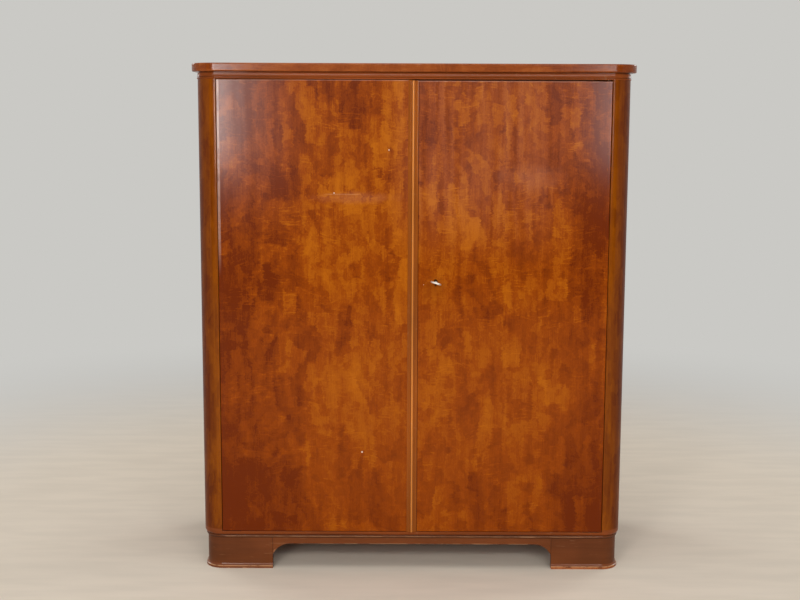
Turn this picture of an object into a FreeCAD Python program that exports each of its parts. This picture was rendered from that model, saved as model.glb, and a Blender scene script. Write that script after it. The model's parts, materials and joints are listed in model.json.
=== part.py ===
import FreeCAD, Part
import math
import os
import re
import Sketcher

# A two-door wardrobe, 1930s and 1940s manner, veneered in flamed birch, with quarter-round
# corner posts, a moulded cornice, bracket feet, a lock with its key and two flush bolts.
# Millimetres. +X is the wardrobe's right seen from the front, the doors face -Y, +Z is up.
# The origin lies on the floor, at the centre of the overall box.

MODEL = FreeCAD.newDocument("wardrobe")
SHEET = MODEL.addObject("Spreadsheet::Sheet", "Sizes")
VECTOR = FreeCAD.Vector

# Driving sizes, one block for each group of pieces
SIZES = {
    # Body
    "body_width": 1462,
    "body_depth": 580,
    "corner_round": 68,
    "side_height": 1552,
    "panel_thickness": 20,
    "back_thickness": 6,
    "back_rebate": 10,
    "stile_width": 70,
    "stile_thickness": 24,
    # Plinth
    "plinth_height": 112,
    "plinth_inset": 10,
    "plinth_wall": 20,
    "foot_width": 233,
    "foot_side_width": 170,
    "rear_foot_width": 120,
    "apron_clearance": 87,
    "bracket_foot_height": 47,
    "bracket_reach": 60,
    "apron_recess": 1.5,
    "plinth_rail_height": 72,
    "glue_block_width": 34,
    "glue_block_height": 80,
    "joint_block_width": 60,
    "foot_moulding_height": 16,
    "foot_moulding_edge": 8,
    "foot_moulding_depth": 6.5,
    "foot_moulding_cove": 12,
    # Bead frame on the plinth
    "bead_height": 9,
    "bead_inset": 5,
    "bead_frame_width": 70,
    "bead_round_share": 0.46,
    # Bottom board
    "bottom_thickness": 22,
    "bottom_round": 11,
    "sill_drop": 8,
    "sill_depth": 30,
    # Cornice and top
    "top_thickness": 24,
    "cornice_depth": 7,
    "cornice_bead_height": 7,
    "cornice_bead_reach": 2.7,
    "cornice_cove": 2.4,
    "slab_thickness": 28,
    "slab_overhang": 19,
    "slab_round": 4.5,
    # Doors
    "door_thickness": 22,
    "door_gap": 1.5,
    "right_door_drop": 4,
    "meeting_gap": 2,
    "door_round": 4,
    "stop_gap": 0.3,
    "stop_end": 62,
    # Moulded strip over the meeting edges
    "strip_shift": 2.5,
    "strip_width": 34,
    "strip_edge": 2.5,
    "strip_height": 6.5,
    "strip_flat": 3,
    "strip_bow": 15,
    "bead_width": 7,
    "bead_seat": 3.5,
    "bead_margin": 0.5,
    "bead_reach": 10,
    # Pivot hinges
    "pivot_inset": 14,
    "pivot_depth": 8,
    "leaf_width": 14,
    "leaf_tail": 9,
    "leaf_reach": 51,
    "leaf_thickness": 2.5,
    "pin_radius": 3,
    "pin_reach": 8,
    "pin_clearance": 0.08,
    "pin_well": 0.6,
    "collar_radius": 5,
    "collar_gap": 0.3,
    "hinge_screw_pitch": 20,
    # Screws and carcass bolts
    "screw_radius": 1.8,
    "screw_head_radius": 3.6,
    "screw_head_height": 2.5,
    "screw_length": 14,
    "bolt_radius": 3,
    "bolt_head_radius": 5,
    "bolt_head_height": 4,
    "bolt_length": 60,
    "bolt_side_inset": 12.5,
    "bolt_front_inset": 150,
    "bolt_back_inset": 90,
    # Inside
    "partition_thickness": 18,
    "partition_setback": 45,
    "shelf_thickness": 18,
    "shelf_setback": 78,
    "hat_shelf_drop": 280,
    "batten_width": 20,
    "batten_height": 25,
    "rail_radius": 12.5,
    "rail_drop": 60,
    "socket_flange_radius": 23,
    "socket_flange_depth": 4,
    "socket_radius": 17,
    "socket_depth": 14,
    "socket_clearance": 0.1,
    # Flush bolts in the left door's meeting edge
    "edge_bolt_depth": 12.5,
    "edge_bolt_inset": 5.5,
    "edge_bolt_radius": 2.5,
    "edge_bolt_travel": 13,
    "edge_bolt_end_gap": 0.5,
    "edge_plate_offset": 30,
    "edge_plate_length": 110,
    "edge_plate_width": 12,
    "edge_plate_thickness": 1.5,
    "edge_slot_width": 5,
    "edge_guide_gap": 0.1,
    "thumb_height": 10,
    "thumb_width": 4.4,
    "edge_well_width": 9,
    "edge_well_depth": 10,
    "strike_length": 30,
    "strike_width": 9,
    "strike_thickness": 1.5,
    "strike_clearance": 0.6,
    # Lock
    "key_height": 1017,
    "lock_backset": 82.5,
    "lock_edge_gap": 2,
    "lock_tail": 24,
    "lock_rise": 27,
    "lock_fall": 20,
    "lock_depth": 13,
    "lock_wall": 1.5,
    "lock_flange": 11,
    "lock_screw_inset": 14,
    "keyhole_radius": 4.5,
    "keyhole_slot_width": 4,
    "keyhole_slot_drop": 16,
    "drill_pin_radius": 1.2,
    "drill_pin_gap": 0.08,
    "drill_pin_depth": 11,
    "lock_bolt_rise": 9,
    "lock_bolt_height": 12,
    "lock_bolt_thickness": 5,
    "lock_bolt_throw": 12,
    "lock_bolt_start": 1,
    "lock_bolt_gap": 0.12,
    "stump_radius": 2,
    "stump_setback": 38,
    "lock_bolt_tail": 4,
    "talon_depth": 5.2,
    "talon_margin": 2,
    "talon_entry_share": 0.28,
    "talon_exit_share": 0.72,
    "spring_length": 34,
    "spring_thickness": 0.6,
    "spring_width": 4,
    "spring_gap": 0.3,
    # Keeper on the left door
    "keeper_edge_gap": 1.5,
    "keeper_length": 15,
    "keeper_wall": 4,
    "keeper_clearance": 1,
    "keeper_flange": 12,
    # Key
    "key_reach": 58,
    "key_stem_radius": 2.75,
    "key_bit_reach": 13.5,
    "key_bit_thickness": 2.5,
    "key_bit_gap": 0.4,
    "key_bit_overlap": 0.9,
    "key_bow_width": 38,
    "key_bow_length": 24,
    "key_bow_wire": 2.2,
    "key_collar_radius": 4.2,
    "key_collar_length": 3,
    # Cuts run past the faces that they open
    "overrun": 1,
}

# The key's turn from the horizontal, in degrees, right end lower
KEY_ANGLE = 17.4

# Heights of the right-hand shelves, as shares of the inside height
SHELF_SHARES = (0.19, 0.385, 0.58, 0.775)

# Two places closer than this share of the overrun are taken as one when edges are picked
MATCH_SHARE = 0.001

# Places that follow from the driving sizes, as formulas of the sheet
DERIVED = {
    "side_face": "body_width / 2",
    "front_face": "(key_reach - body_depth) / 2",
    "back_face": "front_face + body_depth",
    "opening_half": "side_face - corner_round",
    "inner_side": "side_face - panel_thickness",
    "back_front": "back_face - stile_thickness",
    "bottom_level": "plinth_height + bead_height",
    "carcass_level": "bottom_level + bottom_thickness",
    "sill_level": "carcass_level - sill_drop",
    "top_level": "carcass_level + side_height",
    "slab_level": "top_level + top_thickness",
    "plinth_side": "side_face - plinth_inset",
    "plinth_front": "front_face + plinth_inset",
    "plinth_round": "corner_round - plinth_inset",
    "foot_inner": "plinth_side - foot_width",
    "foot_rear": "plinth_front + foot_side_width",
    "bracket_rise": "apron_clearance - bracket_foot_height",
    "bracket_radius": "(bracket_reach^2 + bracket_rise^2) / (2 * bracket_rise)",
    "cornice_bead_radius": "(cornice_bead_height^2 / 4 + cornice_bead_reach^2) / (2 * cornice_bead_reach)",
    "cove_level": "top_level + cornice_bead_height",
    "cove_radius": "((slab_level - cove_level)^2 / 4 + cornice_cove^2) / (2 * cornice_cove)",
    "door_back": "front_face + door_thickness",
    "door_edge": "opening_half - door_gap",
    "door_bottom": "sill_level + door_gap",
    "left_door_top": "top_level - door_gap",
    "right_door_top": "top_level - right_door_drop",
    "right_meeting": "-(strip_shift + bead_width / 2 + bead_margin)",
    "left_meeting": "right_meeting - meeting_gap",
    "pivot_side": "door_edge - pivot_inset",
    "pivot_line": "front_face + pivot_depth",
    "edge_bolt_line": "front_face + edge_bolt_depth",
    "edge_bolt_side": "left_meeting - edge_bolt_inset",
    "key_side": "right_meeting + lock_backset",
    "lock_left": "right_meeting + lock_edge_gap",
    "lock_right": "key_side + lock_tail",
    "lock_top": "key_height + lock_rise",
    "lock_bottom": "key_height - lock_fall",
    "lock_front": "door_back + lock_wall",
    "lock_back": "door_back + lock_depth",
    "lock_bolt_level": "key_height + lock_bolt_rise",
    "lock_bolt_front": "(lock_front + lock_back - lock_wall - lock_bolt_thickness) / 2",
    "stump_side": "key_side - stump_setback",
    "stump_level": "lock_bolt_level + lock_bolt_height / 2",
    "bit_chord": "sqrt(key_bit_reach^2 - lock_bolt_rise^2)",
    "talon_left": "key_side - bit_chord + talon_exit_share * lock_bolt_throw - talon_margin",
    "talon_right": "key_side + bit_chord + talon_entry_share * lock_bolt_throw + talon_margin",
    "keeper_right": "left_meeting - keeper_edge_gap",
    "keeper_left": "keeper_right - keeper_length",
    "shelf_front": "front_face + shelf_setback",
    "shelf_depth": "back_front - shelf_front",
    "partition_half": "partition_thickness / 2",
    "hat_shelf_level": "top_level - hat_shelf_drop",
    "rail_level": "hat_shelf_level - rail_drop",
    "rail_line": "(shelf_front + back_front) / 2",
}

WORDS = re.compile(r"[a-z][a-z_]+")
AXES = ("x", "y", "z")
TURNS = {
    "+z": (VECTOR(1, 0, 0), 0),
    "-z": (VECTOR(1, 0, 0), 180),
    "+x": (VECTOR(0, 1, 0), 90),
    "-x": (VECTOR(0, 1, 0), -90),
    "+y": (VECTOR(1, 0, 0), -90),
    "-y": (VECTOR(1, 0, 0), 90),
}


def fill_sheet():
    """Writes the driving sizes as plain numbers and the places that follow as formulas."""
    rows = [(name, str(number)) for name, number in SIZES.items()]
    rows += [(name, "=" + formula) for name, formula in DERIVED.items()]
    for row, (name, content) in enumerate(rows, start=1):
        SHEET.set(f"A{row}", name)
        SHEET.set(f"B{row}", content)
        SHEET.setAlias(f"B{row}", name)
    MODEL.recompute()


def sized(text):
    """A formula in the sheet's words, as an expression that another object can hold."""
    known = lambda found: found[0] in SIZES or found[0] in DERIVED
    return WORDS.sub(lambda found: "Sizes." + found[0] if known(found) else found[0], text)


def value(text):
    """The present value of a formula."""
    result = SHEET.evalExpression(sized(text))
    return float(getattr(result, "Value", result))


def bind(item, **formulas):
    """Ties properties of an object to formulas of the sheet."""
    for name, text in formulas.items():
        item.setExpression(name, sized(text))
    return item


def matches(place_now, text):
    """Tells whether a place is the one that a formula gives."""
    return abs(place_now - value(text)) < MATCH_SHARE * value("overrun")


def place(item, low, direction="+z"):
    """Puts an object's own origin at a place and turns its own Z to a direction."""
    axis, angle = TURNS[direction]
    item.Placement = FreeCAD.Placement(VECTOR(0, 0, 0), FreeCAD.Rotation(axis, angle))
    for axis_name, text in zip(AXES, low):
        item.setExpression("Placement.Base." + axis_name, sized(text))
    return item


def new(kind, label):
    item = MODEL.addObject(kind, label)
    item.Label = label
    return item


def board(label, low, high):
    """A flat board or block between two corners, each given as three formulas."""
    box = new("Part::Box", label)
    extents = [f"({far}) - ({near})" for near, far in zip(low, high)]
    bind(box, Length=extents[0], Width=extents[1], Height=extents[2])
    return place(box, low)


def rod(label, centre, radius, length, direction="+z"):
    cylinder = new("Part::Cylinder", label)
    bind(cylinder, Radius=radius, Height=length)
    return place(cylinder, centre, direction)


def fused(label, pieces):
    joined = new("Part::MultiFuse", label)
    joined.Shapes = pieces
    return joined


def group(label, pieces):
    """Like pieces that stay separate solids in one node."""
    together = new("Part::Compound", label)
    together.Links = pieces
    return together


def cut(label, base, tools):
    """The base less its tools; what remains carries the label."""
    result = new("Part::Cut", label)
    result.Base = base
    result.Tool = tools[0] if len(tools) == 1 else fused(label + "_cutters", tools)
    return result


def screw(label, head, direction):
    """A countersunk wood screw: head is the middle of its flat face, direction is where it points."""
    cone = new("Part::Cone", label + "_head")
    bind(cone, Radius1="screw_head_radius", Radius2="screw_radius", Height="screw_head_height")
    shank = new("Part::Cylinder", label + "_shank")
    bind(shank, Radius="screw_radius", Height="screw_length")
    return place(fused(label, [cone, shank]), head, direction)


# Outlines. A point is (across, up) or (across, up, radius, turn): with a radius, an arc of
# less than half a circle leads to the next point, turning left for +1 and right for -1.


def arc_between(start, end, radius, turn):
    """The arc's geometry and which of its ends is the start of the edge."""
    chord = end - start
    middle = (start + end) / 2
    left = VECTOR(-chord.y, chord.x, 0).normalize()
    rise = math.sqrt(max(radius**2 - (chord.Length / 2) ** 2, 0))
    centre = middle + left * rise * turn
    first, last = (start, end) if turn > 0 else (end, start)
    angles = [math.atan2((p - centre).y, (p - centre).x) for p in (first, last)]
    circle = Part.Circle(centre, VECTOR(0, 0, 1), radius)
    return Part.ArcOfCircle(circle, *angles)


def draw(sketch, outline, closed=True):
    """Adds an outline to a sketch and fixes each of its points by formulas."""
    spots = [VECTOR(value(point[0]), value(point[1]), 0) for point in outline]
    count = len(outline) if closed else len(outline) - 1
    ends = []
    for index in range(count):
        start = spots[index]
        end = spots[(index + 1) % len(spots)]
        bend = outline[index][2:]
        if bend:
            edge = sketch.addGeometry(arc_between(start, end, value(bend[0]), bend[1]), False)
            add_constraint(sketch, ("Radius", edge, value(bend[0])), bend[0])
            ends.append((edge, 1, 2) if bend[1] > 0 else (edge, 2, 1))
        else:
            ends.append((sketch.addGeometry(Part.LineSegment(start, end), False), 1, 2))
    for index, (edge, near, far) in enumerate(ends):
        fix_point(sketch, edge, near, outline[index])
        if closed or index + 1 < count:
            following = ends[(index + 1) % count]
            sketch.addConstraint(Sketcher.Constraint("Coincident", edge, far, following[0], following[1]))
        else:
            fix_point(sketch, edge, far, outline[-1])


def fix_point(sketch, edge, end, point):
    add_constraint(sketch, ("DistanceX", edge, end, value(point[0])), point[0])
    add_constraint(sketch, ("DistanceY", edge, end, value(point[1])), point[1])


def add_constraint(sketch, terms, text):
    number = sketch.addConstraint(Sketcher.Constraint(*terms))
    sketch.setExpression(f"Constraints[{number}]", sized(text))


def new_sketch(body, name, plane, level):
    """A sketch on one of the body's own planes, moved to a level along that plane's axis."""
    sketch = body.newObject("Sketcher::SketchObject", name)
    support = [item for item in body.Origin.OriginFeatures if item.Role == plane + "_Plane"][0]
    sketch.AttachmentSupport = [(support, "")]
    sketch.MapMode = "FlatFace"
    sign = "-" if plane == "XZ" else ""
    sketch.setExpression("AttachmentOffset.Base.z", sized(f"{sign}({level})"))
    return sketch


def extruded(label, plane, level, length, *outlines):
    """A body padded from outlines: XY upwards, XZ towards the back, YZ towards the right."""
    body = new("PartDesign::Body", label)
    sketch = new_sketch(body, label + "_outline", plane, level)
    for outline in outlines:
        draw(sketch, outline)
    pad = body.newObject("PartDesign::Pad", label + "_pad")
    pad.Profile = sketch
    pad.Reversed = plane == "XZ"
    bind(pad, Length=length)
    MODEL.recompute()
    return body


def rounded(body, radius, chosen):
    """Rounds the edges of a body that a test picks."""
    base = body.Tip
    names = [f"Edge{n}" for n, edge in enumerate(base.Shape.Edges, start=1) if chosen(edge.BoundBox)]
    fillet = body.newObject("PartDesign::Fillet", body.Label + "_rounding")
    fillet.Base = (base, names)
    bind(fillet, Radius=radius)
    MODEL.recompute()
    return body


def swept(label, section_plane, section_level, section, path_level, path):
    """A moulding: a section carried along a path of lines and tangent arcs in plan."""
    body = new("PartDesign::Body", label)
    route = new_sketch(body, label + "_path", "XY", path_level)
    draw(route, path, closed=False)
    profile = new_sketch(body, label + "_section", section_plane, section_level)
    draw(profile, section)
    MODEL.recompute()
    pipe = body.newObject("PartDesign::AdditivePipe", label + "_run")
    pipe.Profile = profile
    pipe.Spine = (route, [f"Edge{n}" for n in range(1, len(route.Shape.Edges) + 1)])
    MODEL.recompute()
    return body


def mirrored(outline):
    """The same outline on the wardrobe's left."""
    flipped = []
    for point in outline:
        bend = (point[2], -point[3]) if len(point) > 2 else ()
        flipped.append((f"-({point[0]})", point[1]) + bend)
    return flipped


def sided(outline, side):
    return outline if side == "right" else mirrored(outline)


def across(text, side):
    """A place across the wardrobe, on the side named."""
    return text if side == "right" else f"-({text})"


def span(inner, outer, side):
    """The lower and upper place of a stretch across the wardrobe, on the side named."""
    return (inner, outer) if side == "right" else (f"-({outer})", f"-({inner})")


SIDES = ("left", "right")


def plan_with_round_corners(half, front, radius):
    """A board's outline seen from above, square at the back and round at both front corners."""
    return [
        (f"-({half})", "back_face"),
        (f"-({half})", f"{front} + {radius}", radius, 1),
        (f"-({half}) + {radius}", front),
        (f"{half} - ({radius})", front, radius, 1),
        (half, f"{front} + {radius}"),
        (half, "back_face"),
    ]


def front_edges_at(level):
    """Picks the edges that lie at one level, apart from the straight one along the back."""

    def chosen(box):
        level_edge = matches(box.ZMin, level) and matches(box.ZMax, level)
        return level_edge and not matches(box.YMin, "back_face")

    return chosen


# Plinth


def front_foot(side):
    outline = [
        ("foot_inner", "plinth_front"),
        ("plinth_side - plinth_round", "plinth_front", "plinth_round", 1),
        ("plinth_side", "plinth_front + plinth_round"),
        ("plinth_side", "foot_rear"),
        ("plinth_side - plinth_wall", "foot_rear"),
        ("plinth_side - plinth_wall", "plinth_front + plinth_round", "plinth_round - plinth_wall", -1),
        ("plinth_side - plinth_round", "plinth_front + plinth_wall"),
        ("foot_inner", "plinth_front + plinth_wall"),
    ]
    return extruded(f"{side}_front_foot", "XY", "0", "plinth_height", sided(outline, side))


def plinth_apron():
    """The low front board between the feet, whose ends curve down as brackets."""
    half = [
        ("foot_inner", "plinth_height"),
        ("foot_inner", "bracket_foot_height", "bracket_radius", 1),
        ("foot_inner - bracket_reach", "apron_clearance"),
    ]
    left = [(f"-({x})", z) for x, z, *_ in reversed(half)]
    left[0] = left[0] + ("bracket_radius", 1)
    return extruded(
        "plinth_apron",
        "XZ",
        "plinth_front + apron_recess",
        "plinth_wall - apron_recess",
        half + left,
    )


def side_apron(side):
    """The plinth's side board: an apron with a bracket at each end, and the rear foot."""
    outline = [
        ("foot_rear", "plinth_height"),
        ("foot_rear", "bracket_foot_height", "bracket_radius", -1),
        ("foot_rear + bracket_reach", "apron_clearance"),
        ("back_face - rear_foot_width - bracket_reach", "apron_clearance", "bracket_radius", -1),
        ("back_face - rear_foot_width", "bracket_foot_height"),
        ("back_face - rear_foot_width", "0"),
        ("back_face", "0"),
        ("back_face", "plinth_height"),
    ]
    near, _ = span("plinth_side - plinth_wall", "plinth_side", side)
    return extruded(f"plinth_{side}_board", "YZ", near, "plinth_wall", outline)


def foot_moulding_section():
    return [
        ("plinth_front", "0"),
        ("plinth_front - foot_moulding_depth", "0"),
        ("plinth_front - foot_moulding_depth", "foot_moulding_edge", "foot_moulding_cove", 1),
        ("plinth_front", "foot_moulding_height"),
    ]


def front_foot_moulding(side):
    path = [
        ("foot_inner", "plinth_front"),
        ("plinth_side - plinth_round", "plinth_front", "plinth_round", 1),
        ("plinth_side", "plinth_front + plinth_round"),
        ("plinth_side", "foot_rear"),
    ]
    return swept(
        f"{side}_foot_moulding",
        "YZ",
        across("foot_inner", side),
        foot_moulding_section(),
        "0",
        sided(path, side),
    )


def rear_foot_mouldings():
    pieces = []
    for side in SIDES:
        outline = [
            ("plinth_side", "0"),
            ("plinth_side + foot_moulding_depth", "0"),
            ("plinth_side + foot_moulding_depth", "foot_moulding_edge", "foot_moulding_cove", -1),
            ("plinth_side", "foot_moulding_height"),
        ]
        pieces.append(
            extruded(
                f"{side}_rear_foot_strip",
                "XZ",
                "back_face - rear_foot_width",
                "rear_foot_width",
                sided(outline, side),
            )
        )
    return group("rear_foot_mouldings", pieces)


def plinth_back_rail():
    return board(
        "plinth_back_rail",
        ("-(plinth_side - plinth_wall)", "back_face - plinth_wall", "plinth_height - plinth_rail_height"),
        ("plinth_side - plinth_wall", "back_face", "plinth_height"),
    )


def glue_blocks():
    """Softwood blocks glued in the plinth's corners and behind the joints of the front."""
    inner_front = "plinth_front + plinth_wall"
    inner_side = "plinth_side - plinth_wall"
    low = "plinth_height - glue_block_height"
    spots = {
        "front": (
            ("plinth_side - plinth_round - glue_block_width", "plinth_side - plinth_round"),
            (inner_front, f"{inner_front} + glue_block_width"),
            low,
        ),
        "side": (
            (f"{inner_side} - glue_block_width", inner_side),
            ("plinth_front + plinth_round", "plinth_front + plinth_round + glue_block_width"),
            low,
        ),
        "rear": (
            (f"{inner_side} - glue_block_width", inner_side),
            ("back_face - plinth_wall - glue_block_width", "back_face - plinth_wall"),
            low,
        ),
        "joint": (
            ("foot_inner - joint_block_width / 2", "foot_inner + joint_block_width / 2"),
            (inner_front, f"{inner_front} + plinth_wall"),
            "apron_clearance",
        ),
    }
    pieces = []
    for side in SIDES:
        for name, (inner, deep, bottom) in spots.items():
            near, far = span(inner[0], inner[1], side)
            low_corner = (near, deep[0], bottom)
            pieces.append(board(f"{side}_{name}_block", low_corner, (far, deep[1], "plinth_height")))
    return group("plinth_glue_blocks", pieces)


def bead_frame():
    """The frame that the body stands on, half round along its front and side edges."""
    outer = plan_with_round_corners(
        "side_face - bead_inset", "front_face + bead_inset", "corner_round - bead_inset"
    )
    hole_side = "side_face - bead_inset - bead_frame_width"
    hole = [
        (f"-({hole_side})", "front_face + bead_inset + bead_frame_width"),
        (hole_side, "front_face + bead_inset + bead_frame_width"),
        (hole_side, "back_face - bead_frame_width"),
        (f"-({hole_side})", "back_face - bead_frame_width"),
    ]
    frame = extruded("plinth_bead_frame", "XY", "plinth_height", "bead_height", outer, hole)
    low = front_edges_at("plinth_height")
    high = front_edges_at("bottom_level")

    def chosen(box):
        at_front = matches(box.YMax, "front_face + bead_inset")
        at_hole = max(abs(box.XMin), abs(box.XMax)) < value("side_face - bead_inset - bead_frame_width / 2")
        return (low(box) or high(box)) and (at_front or not at_hole)

    return rounded(frame, "bead_height * bead_round_share", chosen)


# Body


def bottom_board(cutters):
    outline = plan_with_round_corners("side_face", "front_face", "corner_round")
    blank = extruded("bottom_blank", "XY", "bottom_level", "bottom_thickness", outline)
    rounded(blank, "bottom_round", front_edges_at("bottom_level"))
    sill = board(
        "sill_cutter",
        ("-(opening_half)", "front_face - overrun", "sill_level"),
        ("opening_half", "front_face + sill_depth", "carcass_level + overrun"),
    )
    return cut("bottom_board", blank, [sill] + cutters)


def corner_post(side):
    outline = [
        ("opening_half", "front_face", "corner_round", 1),
        ("side_face", "front_face + corner_round"),
        ("inner_side", "front_face + corner_round", "corner_round - panel_thickness", -1),
        ("opening_half", "front_face + panel_thickness"),
    ]
    return extruded(f"{side}_corner_post", "XY", "carcass_level", "side_height", sided(outline, side))


def side_panel(side, cutters):
    near, far = span("inner_side", "side_face", side)
    blank = board(
        f"{side}_side_blank",
        (near, "front_face + corner_round", "carcass_level"),
        (far, "back_face", "top_level"),
    )
    near, far = span("inner_side - overrun", "inner_side + back_rebate", side)
    rebate = board(
        f"{side}_back_rebate",
        (near, "back_face - back_thickness", "carcass_level - overrun"),
        (far, "back_face + overrun", "top_level + overrun"),
    )
    return cut(f"{side}_side_panel", blank, [rebate] + cutters)


def back_panel(side):
    near, far = span("stile_width / 2 - back_rebate", "inner_side + back_rebate", side)
    return board(
        f"{side}_back_panel",
        (near, "back_face - back_thickness", "carcass_level"),
        (far, "back_face", "top_level"),
    )


def back_stile():
    blank = board(
        "stile_blank",
        ("-(stile_width / 2)", "back_front", "carcass_level"),
        ("stile_width / 2", "back_face", "top_level"),
    )
    rebates = []
    for side in SIDES:
        near, far = span("stile_width / 2 - back_rebate", "stile_width / 2 + overrun", side)
        rebates.append(
            board(
                f"stile_{side}_rebate",
                (near, "back_face - back_thickness", "carcass_level - overrun"),
                (far, "back_face + overrun", "top_level + overrun"),
            )
        )
    return cut("back_stile", blank, rebates)


def top_board(cutters):
    outline = plan_with_round_corners(
        "side_face - cornice_depth", "front_face + cornice_depth", "corner_round - cornice_depth"
    )
    blank = extruded("top_blank", "XY", "top_level", "top_thickness", outline)
    return cut("top_board", blank, cutters)


def cornice_section():
    """The bead below and the cove above it, seen from the right-hand end."""
    return [
        ("front_face + cornice_depth", "top_level"),
        ("front_face", "top_level", "cornice_bead_radius", -1),
        ("front_face", "cove_level", "cove_radius", 1),
        ("front_face", "slab_level"),
        ("front_face + cornice_depth", "slab_level"),
    ]


def cornice_front(cutters):
    blank = extruded(
        "cornice_front_blank", "YZ", "-(opening_half)", "2 * opening_half", cornice_section()
    )
    return cut("cornice_front", blank, cutters)


def cornice_side(side):
    path = [
        ("opening_half", "front_face", "corner_round", 1),
        ("side_face", "front_face + corner_round"),
        ("side_face", "back_face"),
    ]
    return swept(
        f"cornice_{side}",
        "YZ",
        across("opening_half", side),
        cornice_section(),
        "top_level",
        sided(path, side),
    )


def top_slab():
    outline = plan_with_round_corners(
        "side_face + slab_overhang", "front_face - slab_overhang", "corner_round + slab_overhang"
    )
    slab = extruded("top_slab", "XY", "slab_level", "slab_thickness", outline)
    low = front_edges_at("slab_level")
    high = front_edges_at("slab_level + slab_thickness")
    return rounded(slab, "slab_round", lambda box: low(box) or high(box))


def door_stops():
    """Battens behind the doors, short of the hinges, which the doors close against."""
    near = "-(opening_half - stop_end)"
    far = "opening_half - stop_end"
    front = "door_back + stop_gap"
    back = "front_face + sill_depth"
    board("top_door_stop", (near, front, "top_level - sill_drop"), (far, back, "top_level"))
    board("bottom_door_stop", (near, front, "sill_level"), (far, back, "carcass_level"))


def carcass_bolts():
    """Bolts through the top and bottom boards into the ends of the side panels."""
    lines = ("front_face + bolt_front_inset", "back_face - bolt_back_inset")
    levels = {"top": ("slab_level", "-z"), "bottom": ("bottom_level", "+z")}
    bolts = []
    for side in SIDES:
        for number, line in enumerate(lines, start=1):
            for end, (level, direction) in levels.items():
                spot = (across("side_face - bolt_side_inset", side), line, level)
                name = f"{side}_{end}_bolt_{number}"
                shank = rod(name + "_shank", spot, "bolt_radius", "bolt_length", direction)
                head = rod(name + "_head", spot, "bolt_head_radius", "bolt_head_height", direction)
                bolts.append(fused(name, [shank, head]))
    return group("carcass_bolts", bolts)


# Inside


def inside_boards():
    board(
        "centre_partition",
        ("-(partition_half)", "front_face + partition_setback", "carcass_level"),
        ("partition_half", "back_front", "top_level"),
    )
    board(
        "hat_shelf",
        ("-(inner_side)", "shelf_front", "hat_shelf_level"),
        ("-(partition_half)", "back_front", "hat_shelf_level + shelf_thickness"),
    )
    for number, level in enumerate(shelf_levels(), start=1):
        board(
            f"right_shelf_{number}",
            ("partition_half", "shelf_front", level),
            ("inner_side", "back_front", f"{level} + shelf_thickness"),
        )


def shelf_levels():
    return [f"carcass_level + side_height * {share}" for share in SHELF_SHARES]


def shelf_battens():
    """Battens under both ends of each shelf."""
    runs = [("left", "hat_shelf_level")] + [("right", level) for level in shelf_levels()]
    pieces = []
    for number, (side, level) in enumerate(runs, start=1):
        ends = {
            "inner": ("partition_half", "partition_half + batten_width"),
            "outer": ("inner_side - batten_width", "inner_side"),
        }
        for end, (inner, outer) in ends.items():
            near, far = span(inner, outer, side)
            low = (near, "shelf_front", f"{level} - batten_height")
            pieces.append(board(f"batten_{number}_{end}", low, (far, "back_front", level)))
    return group("shelf_battens", pieces)


def hanging_rail():
    start = ("-(inner_side - socket_clearance)", "rail_line", "rail_level")
    length = "inner_side - partition_half - 2 * socket_clearance"
    return rod("hanging_rail", start, "rail_radius", length, "+x")


def rail_sockets():
    """Cups open at the top, so that the rail lifts out."""
    cups = []
    ends = {"outer": ("-(inner_side)", "+x", 1), "inner": ("-(partition_half)", "-x", -1)}
    for name, (face, direction, sign) in ends.items():
        centre = (face, "rail_line", "rail_level")
        flange = rod(f"{name}_flange", centre, "socket_flange_radius", "socket_flange_depth", direction)
        cup = rod(f"{name}_cup", centre, "socket_radius", "socket_depth", direction)
        start = (f"{face} - {sign} * overrun", "rail_line", "rail_level")
        bore_radius = "rail_radius + socket_clearance"
        bore = rod(f"{name}_bore", start, bore_radius, "socket_depth + 2 * overrun", direction)
        edges = [f"{face} - {sign} * overrun", f"{face} + {sign} * (socket_depth + overrun)"]
        near, far = edges if sign > 0 else reversed(edges)
        mouth = board(
            f"{name}_mouth",
            (near, f"rail_line - ({bore_radius})", "rail_level"),
            (far, f"rail_line + {bore_radius}", "rail_level + socket_flange_radius + overrun"),
        )
        cups.append(cut(f"{name}_socket", fused(f"{name}_socket_blank", [flange, cup]), [bore, mouth]))
    return group("rail_sockets", cups)


# Hinges: a leaf with a pin let into the body above and below each door, and a leaf with a
# hole let into the door's ends.


def leaf_span(side):
    return span("pivot_side - leaf_reach", "pivot_side + leaf_tail", side)


def leaf_plate(label, side, low, high):
    near, far = leaf_span(side)
    half = "leaf_width / 2"
    return board(label, (near, f"pivot_line - {half}", low), (far, f"pivot_line + {half}", high))


def leaf_screws(label, side, level, direction):
    spots = [f"pivot_side - {count} * hinge_screw_pitch" for count in (1, 2)]
    return [
        screw(f"{label}_screw_{number}", (across(spot, side), "pivot_line", level), direction)
        for number, spot in enumerate(spots, start=1)
    ]


def door_top(side):
    return f"{side}_door_top"


def frame_leaf(side, end):
    """A plate flush in the body, with a collar that fills the door's gap and a pin."""
    name = f"{side}_{end}_frame_leaf"
    if end == "bottom":
        plate = leaf_plate(name + "_plate", side, "sill_level - leaf_thickness", "sill_level")
        level, gap, up = "sill_level", "door_gap", "+z"
    else:
        plate = leaf_plate(name + "_plate", side, "top_level", "top_level + leaf_thickness")
        level, gap, up = "top_level", f"top_level - {door_top(side)}", "-z"
    spot = (across("pivot_side", side), "pivot_line", level)
    collar = rod(name + "_collar", spot, "collar_radius", f"{gap} - collar_gap", up)
    pin = rod(name + "_pin", spot, "pin_radius", f"{gap} + pin_reach", up)
    return fused(name, [plate, collar, pin])


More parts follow.
